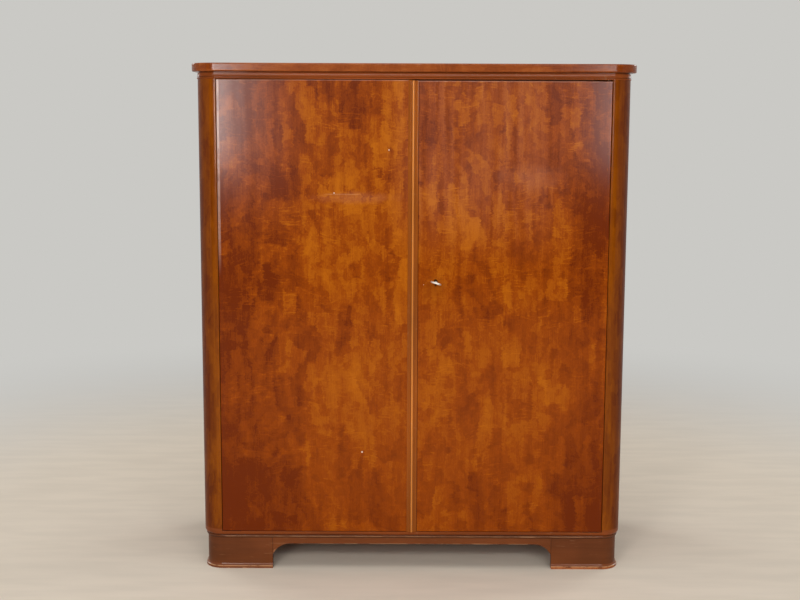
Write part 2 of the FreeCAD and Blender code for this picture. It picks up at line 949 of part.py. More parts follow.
def door_leaf(side, end):
    """A plate flush in the door's end, with the hole that the pin turns in."""
    name = f"{side}_{end}_door_leaf"
    if end == "bottom":
        low, high = "door_bottom", "door_bottom + leaf_thickness"
    else:
        low, high = f"{door_top(side)} - leaf_thickness", door_top(side)
    plate = leaf_plate(name + "_plate", side, low, high)
    start = (across("pivot_side", side), "pivot_line", f"{low} - overrun")
    hole = rod(name + "_hole", start, "pin_radius + pin_clearance", "leaf_thickness + 2 * overrun")
    return cut(name, plate, [hole])


def pin_well(side, end):
    """The room for the pin's end in the door, above or below the leaf."""
    depth = "pin_reach + pin_well"
    low = "door_bottom" if end == "bottom" else f"{door_top(side)} - ({depth})"
    spot = (across("pivot_side", side), "pivot_line", low)
    return rod(f"{side}_{end}_pin_well", spot, "pin_radius + pin_well", depth)


def frame_hinges():
    """The leaves and screws in the body, as (leaves, screws at the top, screws at the bottom)."""
    leaves = {"top": [], "bottom": []}
    screws = {"top": [], "bottom": []}
    for side in SIDES:
        for end, direction, level in (("top", "+z", "top_level"), ("bottom", "-z", "sill_level")):
            leaves[end].append(frame_leaf(side, end))
            screws[end] += leaf_screws(f"{side}_{end}_frame", side, level, direction)
    drilled = []
    for end, pieces in leaves.items():
        drilled += [cut(leaf.Label + "_drilled", leaf, screws[end]) for leaf in pieces]
    group("hinge_frame_leaves", drilled)
    group("hinge_frame_screws", screws["top"] + screws["bottom"])
    return leaves, screws


def door_hinges(side):
    """The leaves in one door; returns what is cut out of the door for them."""
    ends = (("top", "-z", door_top(side)), ("bottom", "+z", "door_bottom"))
    leaves = []
    screws = []
    cutters = []
    for end, direction, level in ends:
        leaf = door_leaf(side, end)
        fixings = leaf_screws(f"{side}_{end}_door", side, level, direction)
        leaves.append(cut(leaf.Label + "_drilled", leaf, fixings))
        screws += fixings
        cutters += [leaf, pin_well(side, end)]
    group(f"{side}_hinge_door_leaves", leaves)
    group(f"{side}_hinge_door_screws", screws)
    return cutters + screws


# Doors


def door_blank(side, meeting, top):
    """A flat door whose front edges are rounded, all but the one under the strip."""
    low, high = ("-(door_edge)", meeting) if side == "left" else (meeting, "door_edge")
    outline = [(low, "door_bottom"), (high, "door_bottom"), (high, top), (low, top)]
    blank = extruded(f"{side}_door_blank", "XZ", "front_face", "door_thickness", outline)

    def chosen(box):
        at_seam = matches(box.XMin, meeting) and matches(box.XMax, meeting)
        return matches(box.YMax, "front_face") and not at_seam

    return rounded(blank, "door_round", chosen)


def strip_flank(side):
    """One flank of the moulded strip: a flat by the bead, then a bow down to the outer edge."""
    middle = "-strip_shift"
    if side == "left":
        inner, sign, turn = "left_meeting", "-", 1
    else:
        inner, sign, turn = "bead_width / 2 - strip_shift + bead_margin", "+", -1
    flat = f"{inner} {sign} strip_flat"
    edge = f"{middle} {sign} strip_width / 2"
    return [
        (inner, "front_face - strip_height"),
        (flat, "front_face - strip_height", "strip_bow", turn),
        (edge, "front_face - strip_edge"),
        (edge, "front_face"),
    ]


def left_door_strip():
    outline = strip_flank("left") + [("left_meeting", "front_face")]
    return extruded("left_door_strip", "XY", "door_bottom", "left_door_top - door_bottom", outline)


def right_door_strip():
    """The right door's part of the strip, with the seat that the bead is glued in."""
    seat_side = "bead_width / 2 - strip_shift + bead_margin"
    outline = strip_flank("right") + [
        ("right_meeting", "front_face"),
        ("right_meeting", "front_face - bead_seat"),
        (seat_side, "front_face - bead_seat"),
    ]
    return extruded("right_door_strip", "XY", "door_bottom", "right_door_top - door_bottom", outline)


def centre_bead():
    left = "-strip_shift - bead_width / 2"
    right = "-strip_shift + bead_width / 2"
    crown = "front_face - bead_reach"
    shoulder = f"{crown} + bead_width / 2"
    outline = [
        (left, "front_face - bead_seat"),
        (left, shoulder, "bead_width / 2", 1),
        ("-strip_shift", crown, "bead_width / 2", 1),
        (right, shoulder),
        (right, "front_face - bead_seat"),
    ]
    return extruded("centre_bead", "XY", "door_bottom", "right_door_top - door_bottom", outline)


# Flush bolts


def edge_bolt_levels(end):
    """The end of the door and which way the bolt goes out, as (level, sign, direction)."""
    return ("left_door_top", "-", "+z") if end == "top" else ("door_bottom", "+", "-z")


def between(level, sign, near, far):
    """Two heights measured inwards from one end of the door, the lower one first."""
    low, high = (near, far) if sign == "+" else (far, near)
    return f"{level} {sign} ({low})", f"{level} {sign} ({high})"


def edge_bolt_pieces(end):
    """A bolt, its plate and strike; returns the pieces and what is cut out of the door."""
    level, sign, direction = edge_bolt_levels(end)
    plate_end = "edge_plate_offset + edge_plate_length"
    low, high = between(level, sign, "edge_plate_offset", plate_end)
    half = "edge_plate_width / 2"
    face = "left_meeting - edge_plate_thickness"
    plate_low = (face, f"edge_bolt_line - {half}", low)
    plate = board(f"{end}_edge_plate_blank", plate_low, ("left_meeting", f"edge_bolt_line + {half}", high))

    thumb_near = "edge_plate_offset + edge_plate_length / 2"
    thumb_far = f"{thumb_near} + thumb_height"
    slot_low, slot_high = between(
        level, sign, f"{thumb_near} - edge_bolt_travel - overrun", f"{thumb_far} + overrun"
    )
    slot = board(
        f"{end}_edge_slot",
        (f"{face} - overrun", "edge_bolt_line - edge_slot_width / 2", slot_low),
        ("left_meeting + overrun", "edge_bolt_line + edge_slot_width / 2", slot_high),
    )
    well = board(
        f"{end}_edge_well",
        ("left_meeting - edge_well_depth", "edge_bolt_line - edge_well_width / 2", low),
        ("left_meeting", "edge_bolt_line + edge_well_width / 2", high),
    )
    inwards = {"+z": "-z", "-z": "+z"}[direction]
    spot = ("edge_bolt_side", "edge_bolt_line", level)
    passage = rod(
        f"{end}_edge_passage", spot, "edge_bolt_radius + edge_guide_gap", "edge_plate_offset", inwards
    )
    plate_cut = cut(f"{end}_edge_plate", plate, [slot])

    start = ("edge_bolt_side", "edge_bolt_line", f"{level} {sign} edge_bolt_end_gap")
    shank = rod(f"{end}_edge_rod", start, "edge_bolt_radius", f"{thumb_far} - edge_bolt_end_gap", inwards)
    thumb_low, thumb_high = between(level, sign, thumb_near, thumb_far)
    thumb = board(
        f"{end}_edge_thumb",
        ("edge_bolt_side", "edge_bolt_line - thumb_width / 2", thumb_low),
        ("left_meeting - stop_gap", "edge_bolt_line + thumb_width / 2", thumb_high),
    )
    fused(f"{end}_edge_bolt", [shank, thumb])
    return plate_cut, [plate, well, passage]


def strike(end):
    """The plate in the body that takes a flush bolt, and the hole behind it."""
    if end == "top":
        low, high = "top_level", "top_level + strike_thickness"
        start, direction = "top_level - overrun", "+z"
    else:
        low, high = "sill_level - strike_thickness", "sill_level"
        start, direction = "sill_level + overrun", "-z"
    plate = board(
        f"{end}_strike_blank",
        ("edge_bolt_side - strike_length / 2", "edge_bolt_line - strike_width / 2", low),
        ("edge_bolt_side + strike_length / 2", "edge_bolt_line + strike_width / 2", high),
    )
    radius = "edge_bolt_radius + strike_clearance"
    depth = "edge_bolt_travel - door_gap - edge_bolt_end_gap + stop_gap"
    spot = ("edge_bolt_side", "edge_bolt_line", start)
    hole = rod(f"{end}_strike_hole", spot, radius, f"{depth} + overrun", direction)
    drilled = cut(f"{end}_strike", plate, [hole])
    return drilled, [plate, hole]


# Lock


def keyhole(label, near, far):
    """The keyhole through whatever lies between two places in depth."""
    length = f"{far} - ({near})"
    eye = rod(label + "_eye", ("key_side", near, "key_height"), "keyhole_radius", length, "+y")
    half = "keyhole_slot_width / 2"
    low = (f"key_side - {half}", near, "key_height - keyhole_slot_drop")
    slot = board(label + "_slot", low, (f"key_side + {half}", far, "key_height"))
    return fused(label, [eye, slot])


def lock_screws():
    spots = []
    for across_place in ("lock_left + lock_screw_inset", "lock_right - lock_screw_inset"):
        for level in ("lock_top + lock_flange / 2", "lock_bottom - lock_flange / 2"):
            spots.append((across_place, "lock_front", level))
    return [screw(f"lock_screw_{n}", spot, "-y") for n, spot in enumerate(spots, start=1)]


def lock_plate(screws):
    """The mounting plate on the door's inner face, with the keyhole."""
    blank = board(
        "lock_plate_blank",
        ("lock_left", "door_back", "lock_bottom - lock_flange"),
        ("lock_right", "lock_front", "lock_top + lock_flange"),
    )
    hole = keyhole("lock_plate_keyhole", "door_back - overrun", "lock_front + overrun")
    return cut("lock_plate", blank, [hole] + screws)


def lock_case():
    """The case: walls, back and the drill pin and stump that stand on its back."""
    shell = board(
        "lock_shell",
        ("lock_left", "lock_front", "lock_bottom"),
        ("lock_right", "lock_back", "lock_top"),
    )
    cavity = board(
        "lock_cavity",
        ("lock_left + lock_wall", "lock_front - overrun", "lock_bottom + lock_wall"),
        ("lock_right - lock_wall", "lock_back - lock_wall", "lock_top - lock_wall"),
    )
    mouth = board(
        "lock_mouth",
        (
            "lock_left - overrun",
            "lock_bolt_front - lock_bolt_gap",
            "lock_bolt_level - lock_bolt_gap",
        ),
        (
            "lock_left + lock_wall + overrun",
            "lock_bolt_front + lock_bolt_thickness + lock_bolt_gap",
            "lock_bolt_level + lock_bolt_height + lock_bolt_gap",
        ),
    )
    back = "lock_back - lock_wall"
    pin = rod("drill_pin", ("key_side", back, "key_height"), "drill_pin_radius", "drill_pin_depth", "-y")
    stump = rod("stump", ("stump_side", back, "stump_level"), "stump_radius", "lock_depth / 2", "-y")
    return fused("lock_case", [cut("lock_case_walls", shell, [cavity, mouth]), pin, stump])


def lock_bolt():
    """The bolt: a talon notch that the key's bit turns in, and a slot that rides on the stump."""
    bar = board(
        "lock_bolt_bar",
        ("lock_left - lock_bolt_start", "lock_bolt_front", "lock_bolt_level"),
        (
            "talon_right + lock_bolt_tail",
            "lock_bolt_front + lock_bolt_thickness",
            "lock_bolt_level + lock_bolt_height",
        ),
    )
    front = "lock_bolt_front - overrun"
    back = "lock_bolt_front + lock_bolt_thickness + overrun"
    talon_low = ("talon_left", front, "lock_bolt_level - overrun")
    talon = board("lock_bolt_talon", talon_low, ("talon_right", back, "lock_bolt_level + talon_depth"))
    half = "stump_radius + lock_bolt_gap"
    slot_low = (f"stump_side - ({half})", front, f"stump_level - ({half})")
    slot_high = (f"stump_side + lock_bolt_throw + {half}", back, f"stump_level + {half}")
    return cut("lock_bolt", bar, [talon, board("lock_bolt_slot", slot_low, slot_high)])


def lock_spring():
    """A bowed leaf between the case's top and the bolt."""
    top = "lock_top - lock_wall"
    sag = "lock_top - lock_wall - spring_thickness - lock_bolt_level - lock_bolt_height - spring_gap"
    radius = f"(spring_length^2 / 4 + ({sag})^2) / (2 * ({sag}))"
    left = "key_side - spring_length"
    outline = [
        (left, top, radius, 1),
        ("key_side", top),
        ("key_side", f"{top} - spring_thickness", radius, -1),
        (left, f"{top} - spring_thickness"),
    ]
    level = "lock_bolt_front + (lock_bolt_thickness - spring_width) / 2"
    return extruded("lock_spring", "XZ", level, "spring_width", outline)


def keeper(screws):
    """The box on the left door that the bolt shoots into."""
    wall = "keeper_wall + keeper_clearance"
    low_level = "lock_bolt_level"
    high_level = "lock_bolt_level + lock_bolt_height"
    bridge = board(
        "keeper_bridge",
        ("keeper_left", "door_back", f"{low_level} - ({wall})"),
        ("keeper_right", "lock_back", f"{high_level} + {wall}"),
    )
    flange = board(
        "keeper_flange_plate",
        ("keeper_left", "door_back", f"{low_level} - ({wall}) - keeper_flange"),
        ("keeper_right", "lock_front", f"{high_level} + {wall} + keeper_flange"),
    )
    mouth = board(
        "keeper_mouth",
        (
            "keeper_left - overrun",
            "lock_bolt_front - keeper_clearance",
            f"{low_level} - keeper_clearance",
        ),
        (
            "keeper_right + overrun",
            "lock_bolt_front + lock_bolt_thickness + keeper_clearance",
            f"{high_level} + keeper_clearance",
        ),
    )
    return cut("lock_keeper", fused("keeper_blank", [bridge, flange]), [mouth] + screws)


def keeper_screws():
    wall = "keeper_wall + keeper_clearance + keeper_flange / 2"
    levels = (f"lock_bolt_level - ({wall})", f"lock_bolt_level + lock_bolt_height + {wall}")
    middle = "(keeper_left + keeper_right) / 2"
    return [
        screw(f"keeper_screw_{n}", (middle, "lock_front", level), "-y")
        for n, level in enumerate(levels, start=1)
    ]


# Key. It is modelled about its own axis, with its bit and bow flat, then turned in the lock.


def key_bow():
    """A round wire bent into a long ring."""
    radius = "key_bow_length / 2 - key_bow_wire"
    near = "front_face - key_reach + key_bow_wire"
    far = "front_face - key_reach + key_bow_length - key_bow_wire"
    middle = "front_face - key_reach + key_bow_length / 2"
    side = "key_bow_width / 2 - key_bow_length / 2"
    tip = "key_bow_width / 2 - key_bow_wire"
    path = [
        ("0", near),
        (side, near, radius, 1),
        (tip, middle, radius, 1),
        (side, far),
        (f"-({side})", far, radius, 1),
        (f"-({tip})", middle, radius, 1),
        (f"-({side})", near),
        ("0", near),
    ]
    body = new("PartDesign::Body", "key_bow")
    route = new_sketch(body, "key_bow_path", "XY", "0")
    draw(route, path, closed=False)
    profile = new_sketch(body, "key_bow_wire_section", "YZ", "0")
    ring = Part.Circle(VECTOR(value(near), 0, 0), VECTOR(0, 0, 1), value("key_bow_wire"))
    circle = profile.addGeometry(ring)
    add_constraint(profile, ("Radius", circle, value("key_bow_wire")), "key_bow_wire")
    fix_point(profile, circle, 3, (near, "0"))
    MODEL.recompute()
    pipe = body.newObject("PartDesign::AdditivePipe", "key_bow_run")
    pipe.Profile = profile
    pipe.Spine = (route, [f"Edge{n}" for n in range(1, len(route.Shape.Edges) + 1)])
    MODEL.recompute()
    return body


def key():
    start = "front_face - key_reach + key_bow_length - key_bow_wire"
    end = "lock_back - lock_wall - key_bit_gap"
    stem = rod("key_stem", ("0", start, "0"), "key_stem_radius", f"{end} - ({start})", "+y")
    collar_start = ("0", f"{start} + key_bow_wire", "0")
    collar = rod("key_collar", collar_start, "key_collar_radius", "key_collar_length", "+y")
    half = "key_bit_thickness / 2"
    bit = board(
        "key_bit",
        ("key_stem_radius - key_bit_overlap", "lock_front + key_bit_gap", f"-({half})"),
        ("key_bit_reach", end, half),
    )
    solid = fused("key_solid", [key_bow(), stem, collar, bit])
    bore_start = ("0", f"{end} + overrun", "0")
    bore_length = "drill_pin_depth + 2 * overrun"
    bore = rod("key_bore", bore_start, "drill_pin_radius + drill_pin_gap", bore_length, "-y")
    turned = cut("key", solid, [bore])
    turned.Placement = FreeCAD.Placement(VECTOR(0, 0, 0), FreeCAD.Rotation(VECTOR(0, 1, 0), KEY_ANGLE))
    turned.setExpression("Placement.Base.x", sized("key_side"))
    turned.setExpression("Placement.Base.z", sized("key_height"))
    return turned


# Assembly


def build_plinth():
    for side in SIDES:
        front_foot(side)
        front_foot_moulding(side)
        side_apron(side)
    plinth_apron()
    rear_foot_mouldings()
    plinth_back_rail()
    glue_blocks()
    bead_frame()


def build_body(leaves, screws, strikes):
    bolts = carcass_bolts()
    bottom_board(leaves["bottom"] + screws["bottom"] + strikes["bottom"] + [bolts])
    top_cutters = leaves["top"] + screws["top"] + strikes["top"]
    top_board(top_cutters + [bolts])
    cornice_front(top_cutters)
    for side in SIDES:
        corner_post(side)
        side_panel(side, [bolts])
        cornice_side(side)
        back_panel(side)
    back_stile()
    top_slab()
    door_stops()


def build_inside():
    inside_boards()
    shelf_battens()
    hanging_rail()
    rail_sockets()


def build_left_door():
    cutters = door_hinges("left")
    plates = []
    for end in ("top", "bottom"):
        plate, openings = edge_bolt_pieces(end)
        plates.append(plate)
        cutters += openings
    group("edge_bolt_plates", plates)
    fixings = keeper_screws()
    keeper(fixings)
    group("keeper_screws", fixings)
    blank = door_blank("left", "left_meeting", "left_door_top")
    cut("left_door_panel", blank, cutters + fixings)
    left_door_strip()


def build_right_door():
    cutters = door_hinges("right")
    fixings = lock_screws()
    lock_plate(fixings)
    group("lock_screws", fixings)
    cutters.append(keyhole("door_keyhole", "front_face - overrun", "door_back + overrun"))
    blank = door_blank("right", "right_meeting", "right_door_top")
    cut("right_door_panel", blank, cutters + fixings)
    right_door_strip()
    centre_bead()
    lock_case()
    lock_bolt()
    lock_spring()
    key()


def build():
    fill_sheet()
    leaves, screws = frame_hinges()
    strikes = {}
    plates = []
    for end in ("top", "bottom"):
        plate, strikes[end] = strike(end)
        plates.append(plate)
    group("bolt_strikes", plates)
    build_plinth()
    build_body(leaves, screws, strikes)
    build_inside()
    build_left_door()
    build_right_door()
    MODEL.recompute()


NODES = (
    ["left_front_foot", "right_front_foot", "plinth_apron", "plinth_left_board", "plinth_right_board"]
    + ["left_foot_moulding", "right_foot_moulding", "rear_foot_mouldings", "plinth_back_rail"]
    + ["plinth_glue_blocks", "plinth_bead_frame", "bottom_board", "left_corner_post"]
    + ["right_corner_post", "left_side_panel", "right_side_panel", "left_back_panel"]
    + ["right_back_panel", "back_stile", "top_board", "cornice_front", "cornice_left"]
    + ["cornice_right", "top_slab", "top_door_stop", "bottom_door_stop", "carcass_bolts"]
    + ["centre_partition", "hat_shelf", "shelf_battens", "hanging_rail", "rail_sockets"]
    + [f"right_shelf_{number}" for number in range(1, len(SHELF_SHARES) + 1)]
    + ["hinge_frame_leaves", "hinge_frame_screws", "bolt_strikes"]
    + ["left_door_panel", "left_door_strip", "left_hinge_door_leaves", "left_hinge_door_screws"]
    + ["edge_bolt_plates", "top_edge_bolt", "bottom_edge_bolt", "lock_keeper", "keeper_screws"]
    + ["right_door_panel", "right_door_strip", "centre_bead", "right_hinge_door_leaves"]
    + ["right_hinge_door_screws", "lock_plate", "lock_case", "lock_spring", "lock_screws"]
    + ["lock_bolt", "key"]
)


def check():
    """Stops at an object that failed, or a piece that is missing, empty or broken."""
    for item in MODEL.Objects:
        if "Invalid" in item.State or "Error" in item.State:
            raise RuntimeError(f"{item.Label}: {item.State}")
    for name in NODES:
        found = MODEL.getObjectsByLabel(name)
        if len(found) != 1:
            raise RuntimeError(f"{len(found)} pieces are named {name}")
        shape = found[0].Shape
        if shape.isNull() or not shape.isValid() or not shape.Solids:
            raise RuntimeError(f"{name} is no valid solid")


def write():
    os.makedirs("parts", exist_ok=True)
    for name in NODES:
        MODEL.getObjectsByLabel(name)[0].Shape.exportStep(f"parts/{name}.step")


build()
check()
write()
print(len(NODES), "pieces written")
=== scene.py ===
import json
import math
from contextlib import contextmanager

import bmesh
import bpy
from bpy.props import FloatProperty, FloatVectorProperty, IntProperty, PointerProperty
from mathutils import Matrix, Vector

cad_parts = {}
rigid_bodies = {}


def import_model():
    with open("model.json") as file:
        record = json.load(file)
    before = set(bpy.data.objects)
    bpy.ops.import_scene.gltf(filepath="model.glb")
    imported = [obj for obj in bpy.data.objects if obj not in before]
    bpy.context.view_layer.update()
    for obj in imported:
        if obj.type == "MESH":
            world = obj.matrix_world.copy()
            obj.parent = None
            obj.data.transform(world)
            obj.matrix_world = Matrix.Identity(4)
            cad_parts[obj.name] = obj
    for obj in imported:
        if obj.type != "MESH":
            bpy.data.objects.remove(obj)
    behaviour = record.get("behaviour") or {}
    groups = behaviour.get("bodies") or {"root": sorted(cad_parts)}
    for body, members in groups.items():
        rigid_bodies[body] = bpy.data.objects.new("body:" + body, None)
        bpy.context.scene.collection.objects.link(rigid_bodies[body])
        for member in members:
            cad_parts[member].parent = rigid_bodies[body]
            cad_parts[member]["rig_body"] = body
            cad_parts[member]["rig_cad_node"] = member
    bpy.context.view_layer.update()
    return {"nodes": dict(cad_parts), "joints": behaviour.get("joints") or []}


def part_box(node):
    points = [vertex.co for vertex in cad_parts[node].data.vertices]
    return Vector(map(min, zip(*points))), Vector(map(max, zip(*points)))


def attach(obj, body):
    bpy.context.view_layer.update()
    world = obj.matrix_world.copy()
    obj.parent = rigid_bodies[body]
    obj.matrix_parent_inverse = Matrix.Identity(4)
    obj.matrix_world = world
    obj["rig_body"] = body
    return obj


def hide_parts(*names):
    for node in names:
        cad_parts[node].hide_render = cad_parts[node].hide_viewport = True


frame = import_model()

bl_info = {
    "name": "Two-door wardrobe",
    "version": (1, 0, 0),
    "blender": (4, 5, 0),
    "location": "View3D > Sidebar > Wardrobe",
    "description": "Models and finishes a two-door wardrobe in flamed birch round its packed frame",
    "category": "Object",
}

# +X is the wardrobe's right seen from the front, the doors face -Y, +Z is up, in metres.

SLAB_LOW, SLAB_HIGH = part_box("top_slab")
POST_LOW, POST_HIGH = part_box("right_corner_post")
BOARD_LOW, BOARD_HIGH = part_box("bottom_board")
FOOT_LOW, FOOT_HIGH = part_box("right_front_foot")
LEFT_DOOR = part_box("left_door_panel")
RIGHT_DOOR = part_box("right_door_panel")
RIGHT_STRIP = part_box("right_door_strip")
FRONT, BACK = BOARD_LOW.y, BOARD_HIGH.y
CORNER = POST_HIGH.x - POST_LOW.x  # radius of the round front corners
JOINTS = {joint["name"]: joint for joint in frame["joints"]}
KEY_X, KEY_Z = JOINTS["key_turn"]["pos_m"][::2]
OVERRUN = 0.01  # how far a cutter stands out of what it cuts
TINY, SLACK = 1e-5, 1e-4  # allowances for rounding when points and faces are told apart


def paint(code):
    """A colour as Blender holds it, from its usual six-digit code."""
    parts = [int(code[place : place + 2], 16) / 255 for place in (0, 2, 4)]
    return tuple(p / 12.92 if p <= 0.04045 else ((p + 0.055) / 1.055) ** 2.4 for p in parts)


def length(name, text, default):
    return FloatProperty(name=name, description=text, default=default, unit="LENGTH", precision=4)


def share(name, text, default):
    return FloatProperty(name=name, description=text, default=default, min=0, max=1, subtype="FACTOR")


def watts(name, text, default):
    return FloatProperty(name=name, description=text, default=default, unit="POWER")


def colour(name, text, code):
    shade = paint(code)
    return FloatVectorProperty(name=name, description=text, default=shade, subtype="COLOR", min=0, max=1)


class WardrobeShape(bpy.types.PropertyGroup):
    """Sizes that the frame doesn't give."""

    arris: length("Arris", "Softening of sharp wooden edges", 0.0008)
    thin_arris: length("Thin arris", "Softening of the cornice, centre bead and sides", 0.0003)
    small_arris: length("Small arris", "Softening of doors, strip, top board and back", 0.0004)
    worn_arris: length("Worn arris", "Softening of the mouldings round the feet", 0.0006)
    fine_arris: length("Fine arris", "Softening of metal edges", 0.0002)
    door_round: length("Door edge", "Rounding of the doors' outer edges", 0.0022)
    ease_width: length("Door ease", "Width over which a door's face falls back at its outer edge", 0.0085)
    ease_depth: length("Door ease depth", "How far it falls back", 0.0003)
    slab_round: length("Top edge", "Rounding of the top slab's edges", 0.0045)
    board_round: length("Bottom edge", "Rounding under the bottom board", 0.011)
    sill_depth: length("Sill", "Depth of the rebate that the doors close over", 0.03)
    sill_drop: length("Sill drop", "How far the rebate lies below the board's face", 0.008)
    post_wall: length("Post wall", "Thickness of the round corner posts", 0.02)
    post_arris: length("Post arris", "Rounding of the posts' edges beside the doors", 0.0012)
    bead_height: length("Cornice bead", "Height of the bead under the cornice's cove", 0.0056)
    bead_reach: length("Bead reach", "How far the cornice's bead stands out", 0.0027)
    bead_quirk: length("Bead quirk", "Height and depth of the small groove over the bead", 0.0018)
    cove_foot: length("Cove foot", "How far the cove stands out at its foot", 0.0016)
    cove_hollow: length("Cove hollow", "How hollow the cove is", 0.0005)
    slab_quirk: length("Slab quirk", "Height and depth of the groove under the top slab", 0.0045)
    foot_edge: length("Foot edge", "Height of the foot moulding's flat edge", 0.008)
    foot_cove: length("Foot cove", "Radius of the foot moulding's cove", 0.012)
    strip_height: length("Strip height", "How far the centre strip stands out", 0.0065)
    strip_edge: length("Strip edge", "Thickness of the centre strip at its outer edge", 0.0025)
    strip_flat: length("Strip flat", "Width of the strip's flat beside the bead", 0.003)
    strip_bow: length("Strip bow", "Radius of the strip's bowed flanks", 0.015)
    strip_gap: length("Strip gap", "Room between the centre bead and the right flank", 0.0005)
    bead_seat: length("Bead seat", "Depth at which the centre bead is seated", 0.0035)
    strip_lap: length("Strip lap", "How far the left flank laps over the joint beside the bead", 0.0016)
    hole_radius: length("Keyhole", "Radius of the keyhole's round part", 0.0045)
    hole_slot: length("Keyhole slot", "Width of the keyhole's slot", 0.004)
    hole_drop: length("Keyhole drop", "How far the slot reaches below the key's axis", 0.016)
    frame_width: length("Bead frame", "Width of the frame that carries the plinth's bead", 0.07)
    apron_clear: length("Apron", "Height of the aprons' level lower edges", 0.087)
    apron_reach: length("Apron bracket", "Length of the curved brackets at the aprons' ends", 0.06)
    key_bow: length("Key bow", "Depth of the bright bow of the key", 0.0242)
    leaf: length("Hinge leaf", "Thickness of the leaves let into doors and body", 0.0025)
    pin_radius: length("Pin hole", "Radius of the holes for the hinges' pins", 0.0036)
    pin_depth: length("Pin depth", "Depth of the holes for the hinges' pins", 0.0086)
    bolt_gap: length("Bolt gap", "Room round a flush bolt in the door", 0.0001)
    bolt_plate: length("Bolt plate", "Length of a flush bolt's plate", 0.11)
    bolt_well: length("Bolt well", "Width and depth of the groove behind the plate", 0.0095)
    strike: length("Strike", "Thickness of the plates that take the flush bolts", 0.0015)
    strike_gap: length("Strike gap", "Room round a flush bolt in the body", 0.0006)
    shelf_round: length("Shelf edge", "Rounding of the shelves' and partition's edges", 0.0015)
    corner_steps: IntProperty(name="Corner steps", description="Facets in a quarter turn", default=20, min=4)


class WardrobeFinish(bpy.types.PropertyGroup):
    """Colours and wear of the finishes."""

    door_dark: colour("Door, dark", "Darkest flames of the doors' veneer", "662400")
    door_mid: colour("Door, middle", "Ground of the doors' veneer", "8C3D00")
    door_light: colour("Door, light", "Lightest flames of the doors' veneer", "AC5C06")
    post_dark: colour("Post, dark", "Dark bands of the corner veneer", "5E2400")
    post_light: colour("Post, light", "Light bands of the corner veneer", "864300")
    top_dark: colour("Top, dark", "Darkest parts of the top's veneer", "6A2A05")
    top_mid: colour("Top, middle", "Ground of the top's veneer", "8A4212")
    top_light: colour("Top, light", "Lightest parts of the top's veneer", "A65E2A")
    moulding: colour("Moulding", "Cornice and bottom board", "823E14")
    strip: colour("Centre strip", "Flanks of the strip between the doors", "8A460E")
    plinth: colour("Plinth", "Feet and apron", "6B381A")
    bare: colour("Bare wood", "Birch where the polish has worn off", "CF9C70")
    kicked: colour("Kicked edge", "Flat edges of the foot mouldings, worn by shoes", "B5622A")
    bead: colour("Centre bead", "Light bead between the doors", "C87A34")
    # Painted reflection: the pale haze of the window light in the polish high on the doors
    reflected_haze: colour("Bloom", "Pale haze high on the doors", "D8B8B0")
    smudged: colour("Smudge", "Wiped patches on the doors", "D09C84")
    scratched: colour("Scratch", "Long scratch on the left door", "E8C8A0")
    chipped: colour("Chip", "Small chips in the doors' polish", "EBDCC8")
    # Painted highlight on the doors' rounded left and upper edges, where the lamps are reflected
    rim: colour("Rim", "Rubbed left and upper edges of the doors", "DCB8A4")
    # Darker wood round the key: handling dirt and a painted shadow of the key
    handled: colour("Handled", "Darkened wood round the key", "7C3600")
    # Painted shade at the keyhole's edge, where the hole is dark
    keyhole_shade: colour("Grime", "Dark edge of the keyhole", "1C0C04")
    # Painted shadow along the centre strip's right flank
    strip_shadow: colour("Crack", "Dirt along the centre strip's foot", "2A0E02")
    inside: colour("Inside", "Lacquered birch inside", "BE9160")
    pine: colour("Pine", "Unfinished pine", "C9A878")
    ply: colour("Plywood", "Unfinished plywood back", "B48F66")
    zinc: colour("Zinc", "Zinced steel of the lock, bolts and sockets", "94918A")
    browned: colour("Browned steel", "Hinges, plates and the key's stem", "3E352C")
    nickel: colour("Nickel", "Bow of the key", "DED8CE")
    polish: share("Polish", "Weight of the clear polish", 0.42)
    haze: share("Haze", "Roughness of the clear polish", 0.13)


class WardrobeStage(bpy.types.PropertyGroup):
    """Floor, lamps and camera."""

    floor: colour("Floor", "Pale floor", "DED2C1")
    wall: colour("Background", "Background and far floor", "CAC9C5")
    room: colour("Room", "Dim room that the polish reflects", "5A4A3C")
    lens: FloatProperty(name="Lens", description="Focal length in millimetres", default=58.5)
    ambient: FloatProperty(name="Ambient", description="Even light from all round", default=0.26)
    left_lamp: watts("Left lamp", "Window light, in watts", 80)
    right_lamp: watts("Right lamp", "Weaker light, in watts", 30)
    front_lamp: watts("Front lamp", "Broad light, in watts", 122)
    top_lamp: watts("Top lamp", "Ceiling light, in watts", 80)
    rear_lamp: watts("Rear lamps", "Each light behind, in watts", 85)


GROUPS = {
    "wardrobe_shape": WardrobeShape,
    "wardrobe_finish": WardrobeFinish,
    "wardrobe_stage": WardrobeStage,
}


def shape():
    return bpy.context.scene.wardrobe_shape


def looks():
    return bpy.context.scene.wardrobe_finish


# Materials. Scales count a pattern's features per metre along each axis.


class Result:
    """What a node gives. Numbers have the usual signs of arithmetic."""

    def __init__(self, nodes, socket):
        self.nodes, self.socket = nodes, socket

    def __add__(self, other):
        return self.nodes.math("ADD", self, other)

    def __sub__(self, other):
        return self.nodes.math("SUBTRACT", self, other)

    def __mul__(self, other):
        return self.nodes.math("MULTIPLY", self, other)

    def __truediv__(self, other):
        return self.nodes.math("DIVIDE", self, other)

    def __abs__(self):
        return self.nodes.math("ABSOLUTE", self)

    def larger(self, other):
        return self.nodes.math("MAXIMUM", self, other)

    def spread(self, low, high, to_low=0.0, to_high=1.0, kind="SMOOTHSTEP"):
        """Maps the span from low to high onto another, and stays at its ends beyond it."""
        inputs = {"Value": self, "From Min": low, "From Max": high, "To Min": to_low, "To Max": to_high}
        return self.nodes.result("ShaderNodeMapRange", inputs, interpolation_type=kind)

    def near(self, place, reach, soft):
        """A mask that is full within reach of a place."""
        return abs(self - place).spread(reach + soft, reach)

    def toward(self, colour, part):
        """This colour, blended toward another by a part of the way."""
        return self.nodes.blend(part, self, colour)


